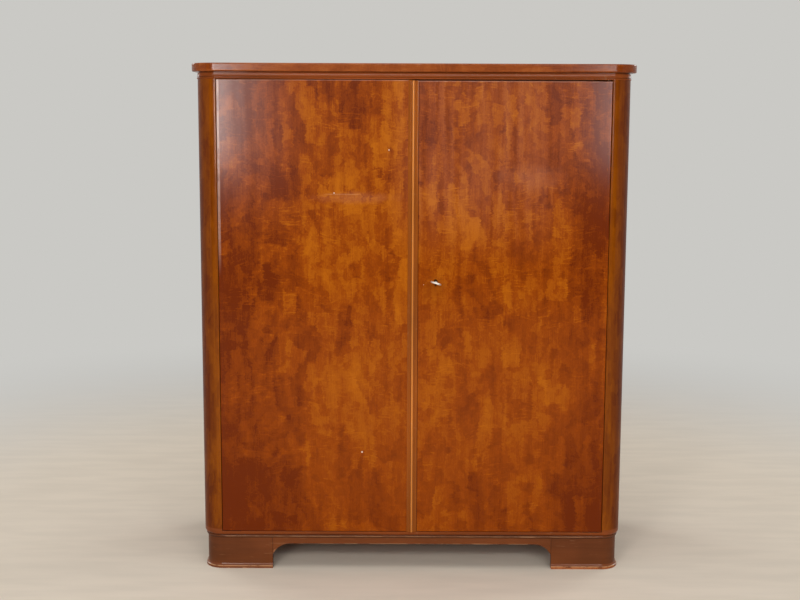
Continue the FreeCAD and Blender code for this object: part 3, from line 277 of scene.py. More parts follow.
class Nodes:
    """A node tree under construction."""

    def __init__(self, tree):
        self.tree = tree

    def add(self, kind, inputs=None, **settings):
        """Adds a node and gives all its results."""
        node = self.tree.nodes.new(kind)
        for name, setting in settings.items():
            setattr(node, name, setting)
        for key, value in (inputs or {}).items():
            if isinstance(value, Result):
                self.tree.links.new(value.socket, node.inputs[key])
            else:
                node.inputs[key].default_value = value
        return [Result(self, socket) for socket in node.outputs]

    def result(self, kind, inputs=None, **settings):
        """Adds a node and gives its first result."""
        return self.add(kind, inputs, **settings)[0]

    def math(self, operation, first, second=0.0):
        return self.result("ShaderNodeMath", {0: first, 1: second}, operation=operation)

    def blend(self, factor, first, second):
        ends = [end if isinstance(end, Result) else (*end, 1.0) for end in (first, second)]
        return self.add("ShaderNodeMix", {0: factor, 6: ends[0], 7: ends[1]}, data_type="RGBA")[2]

    def seen(self):
        """Full for the camera's rays and for those that a polished or clear face sends on."""
        path = {result.socket.name: result for result in self.add("ShaderNodeLightPath")}
        sent_on = path["Is Glossy Ray"].larger(path["Is Transmission Ray"])
        return path["Is Camera Ray"].larger(sent_on)

    def end(self, output, part, first, second):
        """Mixes two shaders and leads them to the tree's output."""
        mixed = self.result("ShaderNodeMixShader", {0: part, 1: first, 2: second})
        self.tree.links.new(mixed.socket, self.tree.nodes[output].inputs["Surface"])


class Finish(Nodes):
    """A material under construction."""

    def __init__(self, name, **sockets):
        self.material = bpy.data.materials.new(name)
        self.material.use_nodes = True
        super().__init__(self.material.node_tree)
        self.shader = self.tree.nodes["Principled BSDF"]
        for socket, value in sockets.items():
            self.shader.inputs[socket.replace("_", " ")].default_value = value
        self.place = self.add("ShaderNodeTexCoord")[3]  # the object's own coordinates

    def scaled(self, scale, start=(0, 0, 0), source=None):
        inputs = {"Vector": source or self.place, "Location": start, "Scale": scale}
        return self.result("ShaderNodeMapping", inputs)

    def cloud(self, vector, detail=2.0, roughness=0.5, distortion=0.0):
        """Noise as its value and its colour."""
        inputs = {"Vector": vector, "Scale": 1.0, "Detail": detail}
        inputs.update(Roughness=roughness, Distortion=distortion)
        return self.add("ShaderNodeTexNoise", inputs)

    def noise(self, scale, detail=2.0, roughness=0.5, start=(0, 0, 0), source=None, distortion=0.0):
        return self.cloud(self.scaled(scale, start, source), detail, roughness, distortion)[0]

    def patches(self, scale, smoothness, start, source):
        """Squarish patches, each with its own even value."""
        inputs = {"Vector": self.scaled(scale, start, source), "Scale": 1.0, "Smoothness": smoothness}
        cells = self.add("ShaderNodeTexVoronoi", inputs, feature="SMOOTH_F1", distance="CHEBYCHEV")
        return self.result("ShaderNodeSeparateColor", {0: cells[1]})

    def vector(self, operation, first, second):
        return self.result("ShaderNodeVectorMath", {0: first, 1: second}, operation=operation)

    def from_spot(self, spot):
        return self.vector("SUBTRACT", self.place, spot)

    def size(self, vector):
        """A vector's length."""
        return self.add("ShaderNodeVectorMath", {0: vector}, operation="LENGTH")[1]

    def warped(self, scale, amount):
        """The place, shifted about by slow noise."""
        drift = self.vector("SUBTRACT", self.cloud(self.scaled(scale), 1.0)[1], (0.5, 0.5, 0.5))
        return self.vector("ADD", self.place, self.vector("MULTIPLY", drift, amount))

    def ramp(self, value, stops):
        ramped = self.result("ShaderNodeValToRGB", {"Fac": value})
        elements = ramped.socket.node.color_ramp.elements
        while len(elements) < len(stops):
            elements.new(0.5)
        for element, (place, shade) in zip(elements, stops):
            element.position = place
            element.color = (*shade, 1.0)
        return ramped

    def axes(self):
        return self.add("ShaderNodeSeparateXYZ", {0: self.place})

    def total(self, *terms):
        """A sum of (value, weight) terms, each value counted from its middle, 0.5."""
        result = None
        for value, weight in terms:
            term = (value - 0.5) * weight
            result = term if result is None else result + term
        return result + 0.5

    def raised(self, *layers):
        """Bumps from (height, distance in metres) layers, fed to the shader's normal."""
        normal = {}
        for height, distance in layers:
            inputs = {"Height": height, "Distance": distance, "Strength": 1.0, **normal}
            normal = {"Normal": self.result("ShaderNodeBump", inputs)}
        self.give(Normal=normal["Normal"], Coat_Normal=normal["Normal"])

    def give(self, **sockets):
        for socket, value in sockets.items():
            self.tree.links.new(value.socket, self.shader.inputs[socket.replace("_", " ")])

    def over(self, colour, mask):
        """Lays another colour over the finish where a mask is full."""
        ground = Result(self, self.shader.inputs["Base Color"].links[0].from_socket)
        self.give(Base_Color=ground.toward(colour, mask))


def shade(value, factor):
    return tuple(min(part * factor, 1.0) for part in value)


def polished(name, weight=1.0):
    """The start of a polished wood: a soft ground under a clear, slightly hazy coat."""
    coat = {"Coat_Weight": looks().polish * weight, "Coat_Roughness": looks().haze, "Coat_IOR": 1.5}
    return Finish(name, Specular_IOR_Level=0.03, **coat)


def spaced(across, along, axis):
    """The scale of a pattern whose spacing differs along one axis."""
    scale = [across] * 3
    scale[axis] = along
    return scale


def fibres(made, along):
    """Fine fibres, long in one direction, and the pores between them."""
    pores = made.noise(spaced(420.0, 26.0, along), 1.0, start=(3.1, 7.7, 1.3))
    return made.noise(spaced(900.0, 14.0, along)), pores


def speck(made, spot, radius):
    """A small mark round a place, as a mask."""
    return made.size(made.from_spot(spot)).spread(radius, radius * 0.6)


def smudge(made, spot, reach):
    """A soft hazy patch round a place, as a mask."""
    away = made.size(made.vector("DIVIDE", made.from_spot(spot), reach))
    return (away + (made.noise((30, 30, 30)) - 0.5) * 0.9).spread(1.1, 0.1)


# How far the figure sways across its fibres and drifts along them, in metres
SWAY, DRIFT = 0.022, 0.07


def figure(made, run, aside, shift):
    """The veneer's mottled figure. Its fibres run along one axis and sway along another."""
    sway = (made.noise(spaced(9.0, 150.0, run), 2.0, 0.6, (0.0, 0.0, 5.5)) - 0.5) * SWAY
    drift = [SWAY * part for part in aside]
    drift[run] = DRIFT
    loose = made.vector("ADD", made.warped(spaced(7.0, 5.0, run), drift), shift)
    loose = made.vector("ADD", loose, made.vector("MULTIPLY", sway, aside))
    column = made.noise(spaced(44.0, 1.7, run), 2.0, 0.6, (8.1, 0.0, 3.0), loose)
    middle = made.patches(spaced(27.0, 14.0, run), 0.08, (9.3, 0.0, 2.2), loose)
    mottle = made.noise(spaced(230.0, 110.0, run), 3.0, 0.65)
    hairs, pores = fibres(made, run)
    where = made.noise(spaced(9.0, 8.0, run), start=(3.3, 0.0, 7.7)).spread(0.42, 0.60)
    flame = made.noise(spaced(24.0, 190.0, run), 2.0, 0.6, (6.5, 0.0, 1.9), loose)
    light = flame.spread(0.58, 0.66) * where
    dark = flame.spread(0.36, 0.28) * where
    tone = made.total(
        (made.noise(spaced(4.2, 2.2, run), start=(1.7, 0.0, 4.1)), 0.62),
        (column, 0.52),
        (made.patches(spaced(15.0, 6.5, run), 0.14, (0.4, 0.0, 0.7), loose), 0.25),
        (middle, 0.26),
        (made.patches(spaced(52.0, 36.0, run), 0.1, (4.8, 0.0, 6.1), loose), 0.18),
        (mottle, 0.50),
        (hairs, 0.52),
    )
    tone = tone + (light * 0.18 - 0.15) - dark * 0.12
    made.give(Roughness=middle.spread(0.0, 1.0, 0.36, 0.46, "LINEAR"))
    wavy = made.noise(spaced(3.2, 2.1, run), 1.0)
    made.raised((wavy, 0.0006), (column, 0.00006), (mottle, 0.00002), (pores, 0.00002))
    return tone, column


def door_ramp(made, tone):
    stops = [(0.10, looks().door_dark), (0.50, looks().door_mid), (0.90, looks().door_light)]
    return made.ramp(tone, stops)


# The width of the doors' veneer leaves, and where two of them meet
LEAF_WIDTH, LEAF_JOINT = 0.229, -0.15
# Wiped patches of the doors as x, z and reaches, a scratch as x and z, and chips as x, z and radius
SMUDGES = ((-0.20, 1.30, (0.17, 0.05, 0.026)), (0.40, 1.37, (0.13, 0.05, 0.06)))
SCRATCH_X, SCRATCH_Z = -0.24, 1.312
CHIPS = (
    (-0.1746, 0.4209, 0.0032),
    (-0.2687, 1.3164, 0.0022),
    (-0.0838, 1.461, 0.0024),
    (0.0347, 1.0061, 0.0012),
)


def door_marks(made, tint, x, z):
    """The doors' colour with the marks that use and cleaning have left, and painted highlights and shadows.
    """
    finish = looks()
    first, second = [smudge(made, (across, FRONT, up), reach) for across, up, reach in SMUDGES]
    tint = tint.toward(finish.smudged, first.larger(second) * 0.07)
    scratch = z.near(SCRATCH_Z, 0.0007, 0.0014) * x.near(SCRATCH_X, 0.04, 0.03)
    tint = tint.toward(finish.scratched, scratch * 0.10)
    # Handling dirt and a painted shadow of the key darken the wood beside and below it
    handled = smudge(made, (KEY_X - 0.008, FRONT, KEY_Z - 0.03), (0.06, 0.05, 0.06))
    tint = tint.toward(finish.handled, handled * 0.5)
    # A painted shade: the keyhole's edge dark, as the hole is dark inside
    tint = tint.toward(finish.keyhole_shade, speck(made, (KEY_X, FRONT, KEY_Z + 0.0015), 0.0085) * 0.8)
    for across, up, radius in CHIPS:
        tint = tint.toward(finish.chipped, speck(made, (across, FRONT, up), radius))
    # A painted shadow beside the right flank of the centre strip
    shadow_beside_strip = x.near(RIGHT_STRIP[1].x + 0.0012, 0.0008, 0.0012)
    tint = tint.toward(finish.strip_shadow, shadow_beside_strip * 0.62)
    # A painted highlight on the left door's rounded outer edge in its upper part, and a weaker one along the
    # upper edges of both doors
    rim = x.near(LEFT_DOOR[0].x + 0.0045, 0.0034, 0.0026) * z.spread(1.02, 1.2)
    rise = x.spread(LEFT_DOOR[1].x, RIGHT_DOOR[0].x, 0.0, LEFT_DOOR[1].z - RIGHT_DOOR[1].z)
    top_edge_highlight = (z + rise).near(LEFT_DOOR[1].z - 0.0022, 0.0012, 0.001)
    patchy = made.noise((40.0, 40.0, 18.0), 3.0, 0.6, (2.0, 0.0, 0.0))
    rim = rim.larger(top_edge_highlight * 0.45) * patchy.spread(0.30, 0.52, 0.45, 0.95)
    return tint.toward(finish.rim, rim * 0.35)


def flamed_veneer(name):
    """The doors' mottled veneer, laid in leaves, with painted shade darker to the sides and below, its marks
    of use, and painted highlights, shadows and reflections.
    """
    made, finish = polished(name), looks()
    x, _, z = made.axes()
    leaf = made.math("FLOOR", (x - LEAF_JOINT) / LEAF_WIDTH)
    chance = made.result("ShaderNodeTexWhiteNoise", {"W": leaf}, noise_dimensions="1D")
    shift = made.result("ShaderNodeCombineXYZ", {"Z": chance * 0.05})
    tone, column = figure(made, 2, (1.0, 0.0, 0.0), shift)
    # Painted shade: the tone darkens towards the doors' sides, below and at the top, and the figure is
    # fainter below
    tone = made.total(
        (tone, z.spread(0.40, 1.40, 0.80, 1.24)),
        (chance, 0.05),
        (abs(x - 0.055).spread(0.28, 0.74, 0.8, 0.0), 0.46),
        (z.spread(0.10, 0.80, 0.0, 0.7), 0.26),
        (z.spread(1.72, 1.45, 0.2, 0.6), 0.16),
    )
    # A painted reflection: a pale haze of the window light high on the left door, and a weaker one on the
    # right door
    left_reflected_haze = x.spread(-0.34, -0.58) * z.spread(1.15, 1.5)
    right_reflected_haze = x.near(0.23, 0.14, 0.22) * z.spread(1.05, 1.4, 0.0, 0.8)
    reflected_haze = left_reflected_haze.larger(right_reflected_haze) * column.spread(0.3, 0.65, 0.4, 1.0)
    tint = door_ramp(made, tone).toward(finish.reflected_haze, reflected_haze * 0.055)
    coat = z.spread(0.9, 1.45, finish.polish * 0.45, finish.polish)
    made.give(Base_Color=door_marks(made, tint, x, z), Coat_Weight=coat)
    return made


def side_veneer(name):
    """The sides' veneer, the doors' figure without leaves or marks."""
    made = polished(name)
    tone, _ = figure(made, 2, (0.0, 1.0, 0.0), (0.0, 0.31, 0.17))
    made.give(Base_Color=door_ramp(made, tone))
    return made


def corner_veneer(name):
    """Upright veneer of the corner posts, in dark and golden bands, with painted shade that leaves them
    lighter beside the doors.
    """
    made = polished(name, 0.6)
    drift = made.warped((9.0, 9.0, 5.0), (0.01, 0.01, 0.05))
    streak = made.noise((110.0, 110.0, 3.0), 3.0, 0.6)
    hairs, pores = fibres(made, 2)
    tone = made.total(
        (made.noise((9.0, 9.0, 2.2), start=(5.0, 2.0, 0.3)), 0.6),
        (made.patches((30.0, 30.0, 9.0), 0.3, (1.0, 3.0, 0.2), drift), 0.30),
        (made.patches((62.0, 62.0, 24.0), 0.2, (0.2, 5.0, 3.3), drift), 0.26),
        (streak, 0.55),
        (made.noise((190.0, 190.0, 90.0), 3.0, 0.65), 0.3),
        (hairs, 0.4),
        # Painted shade: lighter beside the doors, darker on the round as it turns away from the light
        (abs(made.axes()[0]).spread(0.71, 0.672), 0.30),
    )
    tint = made.ramp(tone, [(0.2, looks().post_dark), (0.85, looks().post_light)])
    made.give(Base_Color=tint, Roughness=streak.spread(0.2, 0.8, 0.34, 0.46, "LINEAR"))
    made.raised((made.noise((4.0, 4.0, 2.0), 1.0), 0.0005), (pores, 0.00002))
    return made


def level_veneer(name):
    """Veneer of the top slab, the same figure with its fibres across the wardrobe and less contrast."""
    made, finish = polished(name), looks()
    tone, _ = figure(made, 0, (0.0, 1.0, 0.0), (0.42, 0.0, 0.23))
    stops = [(0.10, finish.top_dark), (0.45, finish.top_mid), (0.90, finish.top_light)]
    made.give(Base_Color=made.ramp(made.total((tone, 0.75)), stops))
    return made


def moulded_birch(name, ground, along, rubbed, weight=1.0):
    """Stained solid birch of a moulding, rubbed paler in places."""
    made = polished(name, weight)
    streak = made.noise(spaced(46.0, 3.0, along), 3.0, 0.6)
    broad = made.noise(spaced(7.0, 2.5, along), start=(4.0, 1.0, 2.0))
    hairs, pores = fibres(made, along)
    tone = made.total((streak, 0.5), (broad, 0.7), (hairs, 0.12))
    tint = made.ramp(tone, [(0.2, shade(ground, 0.62)), (0.5, ground), (0.85, shade(ground, 1.5))])
    worn = made.noise((60.0, 60.0, 60.0), 3.0, start=(0.5, 0.2, 0.9)).spread(0.62, 0.72)
    tint = tint.toward(looks().bare, worn * rubbed)
    made.give(Base_Color=tint, Roughness=streak.spread(0.2, 0.8, 0.33, 0.48, "LINEAR"))
    made.raised((broad, 0.0003), (pores, 0.00003))
    return made


def plinth_birch(name):
    """Dark stained birch of the feet and apron, bare along its rubbed lower edges."""
    made, finish = polished(name, 0.7), looks()
    x, _, z = made.axes()
    across = abs(x)
    streak = made.noise((4.0, 4.0, 70.0), 3.0, 0.6)
    broad = made.noise((6.0, 6.0, 9.0), 3.0, start=(2.0, 5.0, 1.0))
    hairs, pores = fibres(made, 0)
    tone = made.total((streak, 0.35), (broad, 0.7), (hairs, 0.1), (across.spread(0.4885, 0.4875), 0.1))
    dark, light = shade(finish.plinth, 0.66), shade(finish.plinth, 1.35)
    tint = made.ramp(tone, [(0.2, dark), (0.5, finish.plinth), (0.85, light)])
    # A dark joint line where the feet meet the apron, and a painted shadow under the bead
    joint = across.near(FOOT_LOW.x, 0.0006, 0.0008) * 0.45
    bead_shadow = z.spread(FOOT_HIGH.z - 0.0045, FOOT_HIGH.z - 0.002) * 0.6
    tint = tint.toward(shade(finish.plinth, 0.2), joint.larger(bead_shadow))
    patchy = made.noise((34.0, 34.0, 120.0), 3.0, 0.6, (0.0, 0.0, 4.0))
    # Bare wood: patches along the apron's edge, an unbroken stretch at the right, and the left bracket
    level = shape().apron_clear
    edge = z.near(level + 0.0002, 0.0006, 0.0009) * patchy.spread(0.44, 0.58) * across.spread(0.43, 0.42)
    bright = x.near(0.239, 0.024, 0.01) * z.spread(level + 0.0022, level + 0.0008)
    curve = speck(made, (-0.4805, FRONT + 0.0115, 0.0597), 0.007) * patchy.spread(0.3, 0.5, 0.0, 0.5)
    tint = tint.toward(finish.bare, edge.larger(bright).larger(curve) * 0.8)
    scuffs = made.noise((14.0, 14.0, 160.0), start=(7.0, 0.0, 0.0)).spread(0.66, 0.74)
    tint = tint.toward(finish.bare, scuffs * 0.1)
    made.give(Base_Color=tint, Roughness=broad.spread(0.2, 0.8, 0.36, 0.5, "LINEAR"))
    made.raised((broad, 0.0003), (pores, 0.00003))
    return made


def plinth_bead_birch(name):
    """The half-round bead on the plinth, its crest light: rubbed bare in places, and a painted highlight
    along it.
    """
    made = moulded_birch(name, shade(looks().plinth, 0.74), 0, 0.04)
    x, _, z = made.axes()
    # The crest's light line, worn bare and a painted highlight, along the front alone, with a barer place at
    # the right
    crest = z.near(FOOT_HIGH.z + 0.0038, 0.0007, 0.0011) * abs(x).spread(POST_LOW.x, POST_LOW.x - 0.02)
    patchy = made.noise((26.0, 26.0, 40.0), 3.0, 0.6, (3.0, 0.0, 4.0))
    rubbed = crest * patchy.spread(0.36, 0.62, 0.14, 0.36)
    made.over(looks().bare, rubbed.larger(crest * x.near(0.405, 0.014, 0.03) * 0.6))
    return made


def foot_moulding_birch(name):
    """The mouldings round the feet, kicked bare along their edges, most on the right."""
    made = moulded_birch(name, shade(looks().plinth, 1.25), 0, 0.2)
    x, _, z = made.axes()
    patchy = made.noise((40.0, 40.0, 90.0), 4.0, 0.65, (3.0, 0.0, 4.0))
    # The whole flat at the right, and everywhere the upper and lower edges of the flat
    top = shape().foot_edge
    heavy = z.spread(top + 0.0015, top - 0.0005) * x.spread(0.3, 0.5) * patchy.spread(0.36, 0.52)
    line = z.near(top, 0.0006, 0.0014) * patchy.spread(0.34, 0.52)
    low = z.spread(0.0032, 0.0012) * patchy.spread(0.5, 0.62)
    made.over(looks().kicked, heavy * 0.62)
    made.over(looks().bare, line.larger(low) * 0.62)
    return made


def plain_wood(name, ground, along, roughness, coat=0.0):
    """Unstained boards: straight fibres, faint bands and pores, with or without a thin lacquer."""
    made = Finish(name, Specular_IOR_Level=0.3, Coat_Weight=coat, Coat_Roughness=0.3)
    streak = made.noise(spaced(60.0, 2.2, along), 4.0, 0.6)
    broad = made.noise(spaced(9.0, 1.2, along), start=(1.0, 4.0, 2.0), distortion=0.6)
    hairs, pores = fibres(made, along)
    tone = made.total((streak, 0.6), (broad, 0.7), (hairs, 0.2))
    tint = made.ramp(tone, [(0.2, shade(ground, 0.7)), (0.5, ground), (0.85, shade(ground, 1.18))])
    made.give(Base_Color=tint, Roughness=streak.spread(0.2, 0.8, roughness, roughness + 0.12, "LINEAR"))
    made.raised((pores, 0.00005))
    return made


def steel(name, ground, roughness, dulled):
    """Plated or browned steel with a fine brushed grain, dulled in spots."""
    made = Finish(name, Metallic=1.0)
    brushed = made.noise((2400.0, 2400.0, 60.0))
    cloud = made.noise((70.0, 70.0, 70.0), 3.0)
    tint = made.blend(cloud.spread(0.45, 0.7) * dulled, ground, shade(ground, 0.45))
    made.give(Base_Color=tint, Roughness=cloud.spread(0.3, 0.7, roughness, roughness + 0.18, "LINEAR"))
    made.raised((brushed, 0.000008), (cloud, 0.00002))
    return made


def material(name):
    """A finish by name, made when it is first asked for."""
    finish = looks()
    makers = {
        "flamed birch veneer": (flamed_veneer,),
        "corner birch veneer": (corner_veneer,),
        "side birch veneer": (side_veneer,),
        "top birch veneer": (level_veneer,),
        "cornice birch": (moulded_birch, finish.moulding, 0, 0.1, 0.45),
        "strip birch": (moulded_birch, finish.strip, 2, 0.06, 0.75),
        "board birch": (moulded_birch, shade(finish.moulding, 0.9), 0, 0.06),
        "light bead birch": (moulded_birch, finish.bead, 2, 0.25),
        "plinth birch": (plinth_birch,),
        "plinth bead birch": (plinth_bead_birch,),
        "foot moulding birch": (foot_moulding_birch,),
        "upright inside birch": (plain_wood, finish.inside, 2, 0.38, 0.25),
        "level inside birch": (plain_wood, finish.inside, 0, 0.38, 0.25),
        "pine": (plain_wood, finish.pine, 0, 0.6),
        # Dark stained pine, which also stands in for the shade in the gaps round the doors and in the keyhole
        "stained pine": (plain_wood, shade(finish.moulding, 0.4), 0, 0.5),
        "back plywood": (plain_wood, finish.ply, 2, 0.55),
        "zinced steel": (steel, finish.zinc, 0.34, 0.4),
        "browned steel": (steel, finish.browned, 0.5, 0.5),
        "nickelled steel": (steel, finish.nickel, 0.42, 0.08),
    }
    maker, *details = makers[name]
    return bpy.data.materials.get(name) or maker(name, *details).material


# Modelling helpers

SMOOTH_ANGLE = math.radians(44)
ARRIS_ANGLE = math.radians(38)
FLAT_ANGLE = math.radians(0.4)


def alone(piece):
    bpy.ops.object.select_all(action="DESELECT")
    piece.select_set(True)
    bpy.context.view_layer.objects.active = piece


@contextmanager
def editing(piece):
    """Edit mode on one piece, everything in it selected."""
    alone(piece)
    bpy.ops.object.mode_set(mode="EDIT")
    bpy.ops.mesh.select_all(action="SELECT")
    yield
    bpy.ops.object.mode_set(mode="OBJECT")


def pick(kind, test):
    """In edit mode, selects the vertices or edges all of whose points pass a test."""
    bpy.ops.mesh.select_mode(type=kind)
    bpy.ops.mesh.select_all(action="DESELECT")
    data = bpy.context.edit_object.data
    mesh = bmesh.from_edit_mesh(data)
    for item in mesh.verts if kind == "VERT" else mesh.edges:
        points = [item] if kind == "VERT" else item.verts
        if all(test(point.co) for point in points):
            item.select_set(True)
    bmesh.update_edit_mesh(data)


def at(value, place):
    return abs(value - place) < TINY


def off_the_back(point, half):
    """True along the front and sides of a board, its back corners included."""
    return point.y < BACK - TINY or abs(point.x) > half - TINY


def solid(name, outline, *moves):
    """A closed piece: an outline carried along steps (x, y, z) and quarter turns about places (x, y)."""
    bpy.ops.object.select_all(action="DESELECT")
    bpy.ops.mesh.primitive_circle_add(vertices=len(outline), fill_type="NGON", location=(0, 0, 0))
    piece = bpy.context.object
    piece.name = piece.data.name = name
    for vertex, spot in zip(piece.data.vertices, outline):
        vertex.co = spot
    turn = {"steps": shape().corner_steps, "angle": -math.pi / 2, "axis": (0, 0, 1)}
    with editing(piece):
        for move in moves:
            if len(move) == 3:
                bpy.ops.mesh.extrude_region_move(TRANSFORM_OT_translate={"value": move})
            else:
                bpy.ops.mesh.spin(center=(*move, 0), **turn)
        bpy.ops.mesh.select_all(action="SELECT")
        bpy.ops.mesh.remove_doubles(threshold=1e-6)
        bpy.ops.mesh.normals_make_consistent(inside=False)
    return piece


def upright(name, outline, low, high):
    """A closed piece with one outline from one level up to another."""
    return solid(name, [(x, y, low) for x, y in outline], (0, 0, high - low))


def oblong(low, high):
    return [(low[0], low[1]), (high[0], low[1]), (high[0], high[1]), (low[0], high[1])]


def rounded(piece, radius, steps, test):
    """Rounds the edges that pass a test."""
    with editing(piece):
        pick("EDGE", test)
        bpy.ops.mesh.bevel(offset=radius, segments=steps, profile=0.5, affect="EDGES")


def less(piece, cutter):
    """Cuts one piece out of another and deletes the cutter."""
    alone(piece)
    cut = piece.modifiers.new("cut", "BOOLEAN")
    cut.object = cutter
    cut.operation = "DIFFERENCE"
    cut.solver = "EXACT"
    bpy.ops.object.modifier_apply(modifier=cut.name)
    bpy.data.objects.remove(cutter)


def less_block(piece, low, high):
    less(piece, upright("cutter", oblong(low, high), low[2], high[2]))


def pocket(piece, near, far, level, depth):
    """Sinks the plan of a box into a level face, upwards or, with a negative depth, downwards."""
    low, high = sorted((level - math.copysign(OVERRUN, depth), level + depth))
    less_block(piece, (near.x, near.y, low), (far.x, far.y, high))


def drilled(piece, across, line, level, radius, depth):
    """Drills into a level face, upwards or, with a negative depth, downwards."""
    start = level - math.copysign(OVERRUN, depth)
    less(piece, upright("cutter", arc((across, line), radius, 0, 360, 32)[:-1], start, level + depth))


def flush_bolt():
    """The radius and place of the flush bolts' round bars."""
    low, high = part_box("bottom_edge_bolt")
    radius = (high.y - low.y) / 2
    return radius, low.x + radius, low.y + radius


def softened(piece, width, segments=2):
    """Takes the sharpness off the edges and sets the shading, flat faces staying flat."""
    alone(piece)
    if width:
        arris = piece.modifiers.new("arris", "BEVEL")
        arris.width = width
        arris.segments = segments
        arris.limit_method = "ANGLE"
        arris.angle_limit = ARRIS_ANGLE
        arris.use_clamp_overlap = True
        bpy.ops.object.modifier_apply(modifier=arris.name)
    bpy.ops.object.shade_smooth_by_angle(angle=SMOOTH_ANGLE)
    flat = piece.modifiers.new("flat faces", "WEIGHTED_NORMAL")
    flat.keep_sharp = True
    flat.weight = 100
    bpy.ops.object.modifier_apply(modifier=flat.name)


def finished(piece, width, body, slot, finish, *nodes, segments=2):
    """Softens a piece, gives it its material and body, and hides the frame's nodes that it stands for. The
    slot is not used.
    """
    softened(piece, width, segments)
    piece.data.materials.clear()
    piece.data.materials.append(material(finish))
    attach(piece, body)
    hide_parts(*nodes)


def second_finish(piece, finish, test):
    """Gives the faces whose (centre, normal) pass a test another finish."""
    piece.data.materials.append(material(finish))
    for face in piece.data.polygons:
        if test(face.center, face.normal):
            face.material_index = len(piece.data.materials) - 1


def from_nodes(body, slot, finish, width, *nodes):
    """Pieces from copies of the frame's nodes, joined up, tidied and softened."""
    for node in nodes:
        alone(frame["nodes"][node])
        bpy.ops.object.duplicate()
        piece = bpy.context.object
        piece.parent = None
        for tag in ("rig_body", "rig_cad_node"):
            del piece[tag]
        piece.name = piece.data.name = node + "_made"
        with editing(piece):
            bpy.ops.mesh.remove_doubles(threshold=2e-6)
            bpy.ops.mesh.dissolve_limited(angle_limit=FLAT_ANGLE)
        finished(piece, width, body, slot, finish, node)


def arc(centre, radius, start, end, steps):
    """Points on an arc in a plane, from one angle to another in degrees."""
    angles = [math.radians(start + (end - start) * step / steps) for step in range(steps + 1)]
    return [(centre[0] + radius * math.cos(a), centre[1] + radius * math.sin(a)) for a in angles]


def bow(start, end, radius, turn, steps):
    """Points of a shallow arc between two places, turning left for +1 and right for -1."""
    first, last = Vector(start), Vector(end)
    chord = last - first
    left = Vector((-chord.y, chord.x)).normalized()
    centre = (first + last) / 2 + left * math.sqrt(radius**2 - (chord.length / 2) ** 2) * turn
    angles = [math.atan2((p - centre).y, (p - centre).x) for p in (first, last)]
    sweep = (angles[1] - angles[0]) * turn % (2 * math.pi) * turn
    return arc(centre, radius, math.degrees(angles[0]), math.degrees(angles[0] + sweep), steps)


def mirrored(points):
    return [(-x, y) for x, y in reversed(points)]


def plan(half, front, radius):
    """A board's outline from above, square at the back and round at both front corners."""
    right = arc((half - radius, front + radius), radius, -90, 0, shape().corner_steps)
    return mirrored(right) + right + [(half, BACK), (-half, BACK)]


class Maker:
    """What the operators share."""

    bl_options = {"REGISTER", "UNDO"}

    @classmethod
    def poll(cls, context):
        return context.scene is not None


# Top and body


class WARDROBE_OT_top_slab(Maker, bpy.types.Operator):
    """Makes the top slab, with round front corners and softened edges"""

    bl_idname = "wardrobe.top_slab"
    bl_label = "Top slab"

    def execute(self, context):
        outline = plan(SLAB_HIGH.x, SLAB_LOW.y, CORNER + (SLAB_HIGH.x - BOARD_HIGH.x))
        piece = upright("top_slab_made", outline, SLAB_LOW.z, SLAB_HIGH.z)
        for level in (SLAB_LOW.z, SLAB_HIGH.z):
            rounded(piece, shape().slab_round, 6, lambda p: at(p.z, level) and off_the_back(p, SLAB_HIGH.x))
        finished(piece, 0, "carcass", "carcass_birch", "top birch veneer", "top_slab")
        return {"FINISHED"}


class WARDROBE_OT_cornice(Maker, bpy.types.Operator):
    """Runs the cornice round the front and sides: a half-round bead below and a shallow cove above"""

    bl_idname = "wardrobe.cornice"
    bl_label = "Cornice"

    def execute(self, context):
        sizes = shape()
        low, top = POST_HIGH.z, SLAB_LOW.z
        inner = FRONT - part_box("cornice_front")[1].y
        bead, quirk = low + sizes.bead_height, sizes.bead_quirk
        foot, head = bead + quirk, top - sizes.slab_quirk
        bead_radius = (sizes.bead_height**2 / 4 + sizes.bead_reach**2) / (2 * sizes.bead_reach)
        hollow_radius = ((head - foot) ** 2 / 4 + sizes.cove_hollow**2) / (2 * sizes.cove_hollow)
        section = [(inner, low)] + bow((0, low), (0, bead), bead_radius, 1, 10)
        section += [(-quirk, bead), (-quirk, foot)]
        section += bow((sizes.cove_foot, foot), (0, head), hollow_radius, -1, 12)
        section += [(-sizes.slab_quirk, head), (-sizes.slab_quirk, top), (inner, top)]
        outline = [(-BOARD_HIGH.x - out, BACK, z) for out, z in section]
        turn_x, turn_y = BOARD_HIGH.x - CORNER, FRONT + CORNER
        runs = [(0, turn_y - BACK, 0), (-turn_x, turn_y), (2 * turn_x, 0, 0)]
        runs += [(turn_x, turn_y), (0, BACK - turn_y, 0)]
        piece = solid("cornice_made", outline, *runs)
        nodes = ("cornice_front", "cornice_left", "cornice_right")
        finish = ("carcass", "carcass_birch", "cornice birch")
        finished(piece, sizes.thin_arris, *finish, *nodes, segments=1)
        return {"FINISHED"}


class WARDROBE_OT_corner_posts(Maker, bpy.types.Operator):
    """Makes the quarter-round corner posts"""

    bl_idname = "wardrobe.corner_posts"
    bl_label = "Corner posts"

    def execute(self, context):
        steps = shape().corner_steps * 2
        centre = (POST_LOW.x, FRONT + CORNER)
        outline = arc(centre, CORNER, -90, 0, steps) + arc(centre, CORNER - shape().post_wall, 0, -90, steps)
        for side, sign in (("left", -1), ("right", 1)):
            turned = [(sign * x, y) for x, y in outline]
            piece = upright(f"{side}_corner_post_made", turned, POST_LOW.z, POST_HIGH.z)
            rounded(piece, shape().post_arris, 3, lambda p: at(abs(p.x), POST_LOW.x) and at(p.y, FRONT))
            finished(piece, 0, "carcass", "carcass_birch", "corner birch veneer", f"{side}_corner_post")
        return {"FINISHED"}


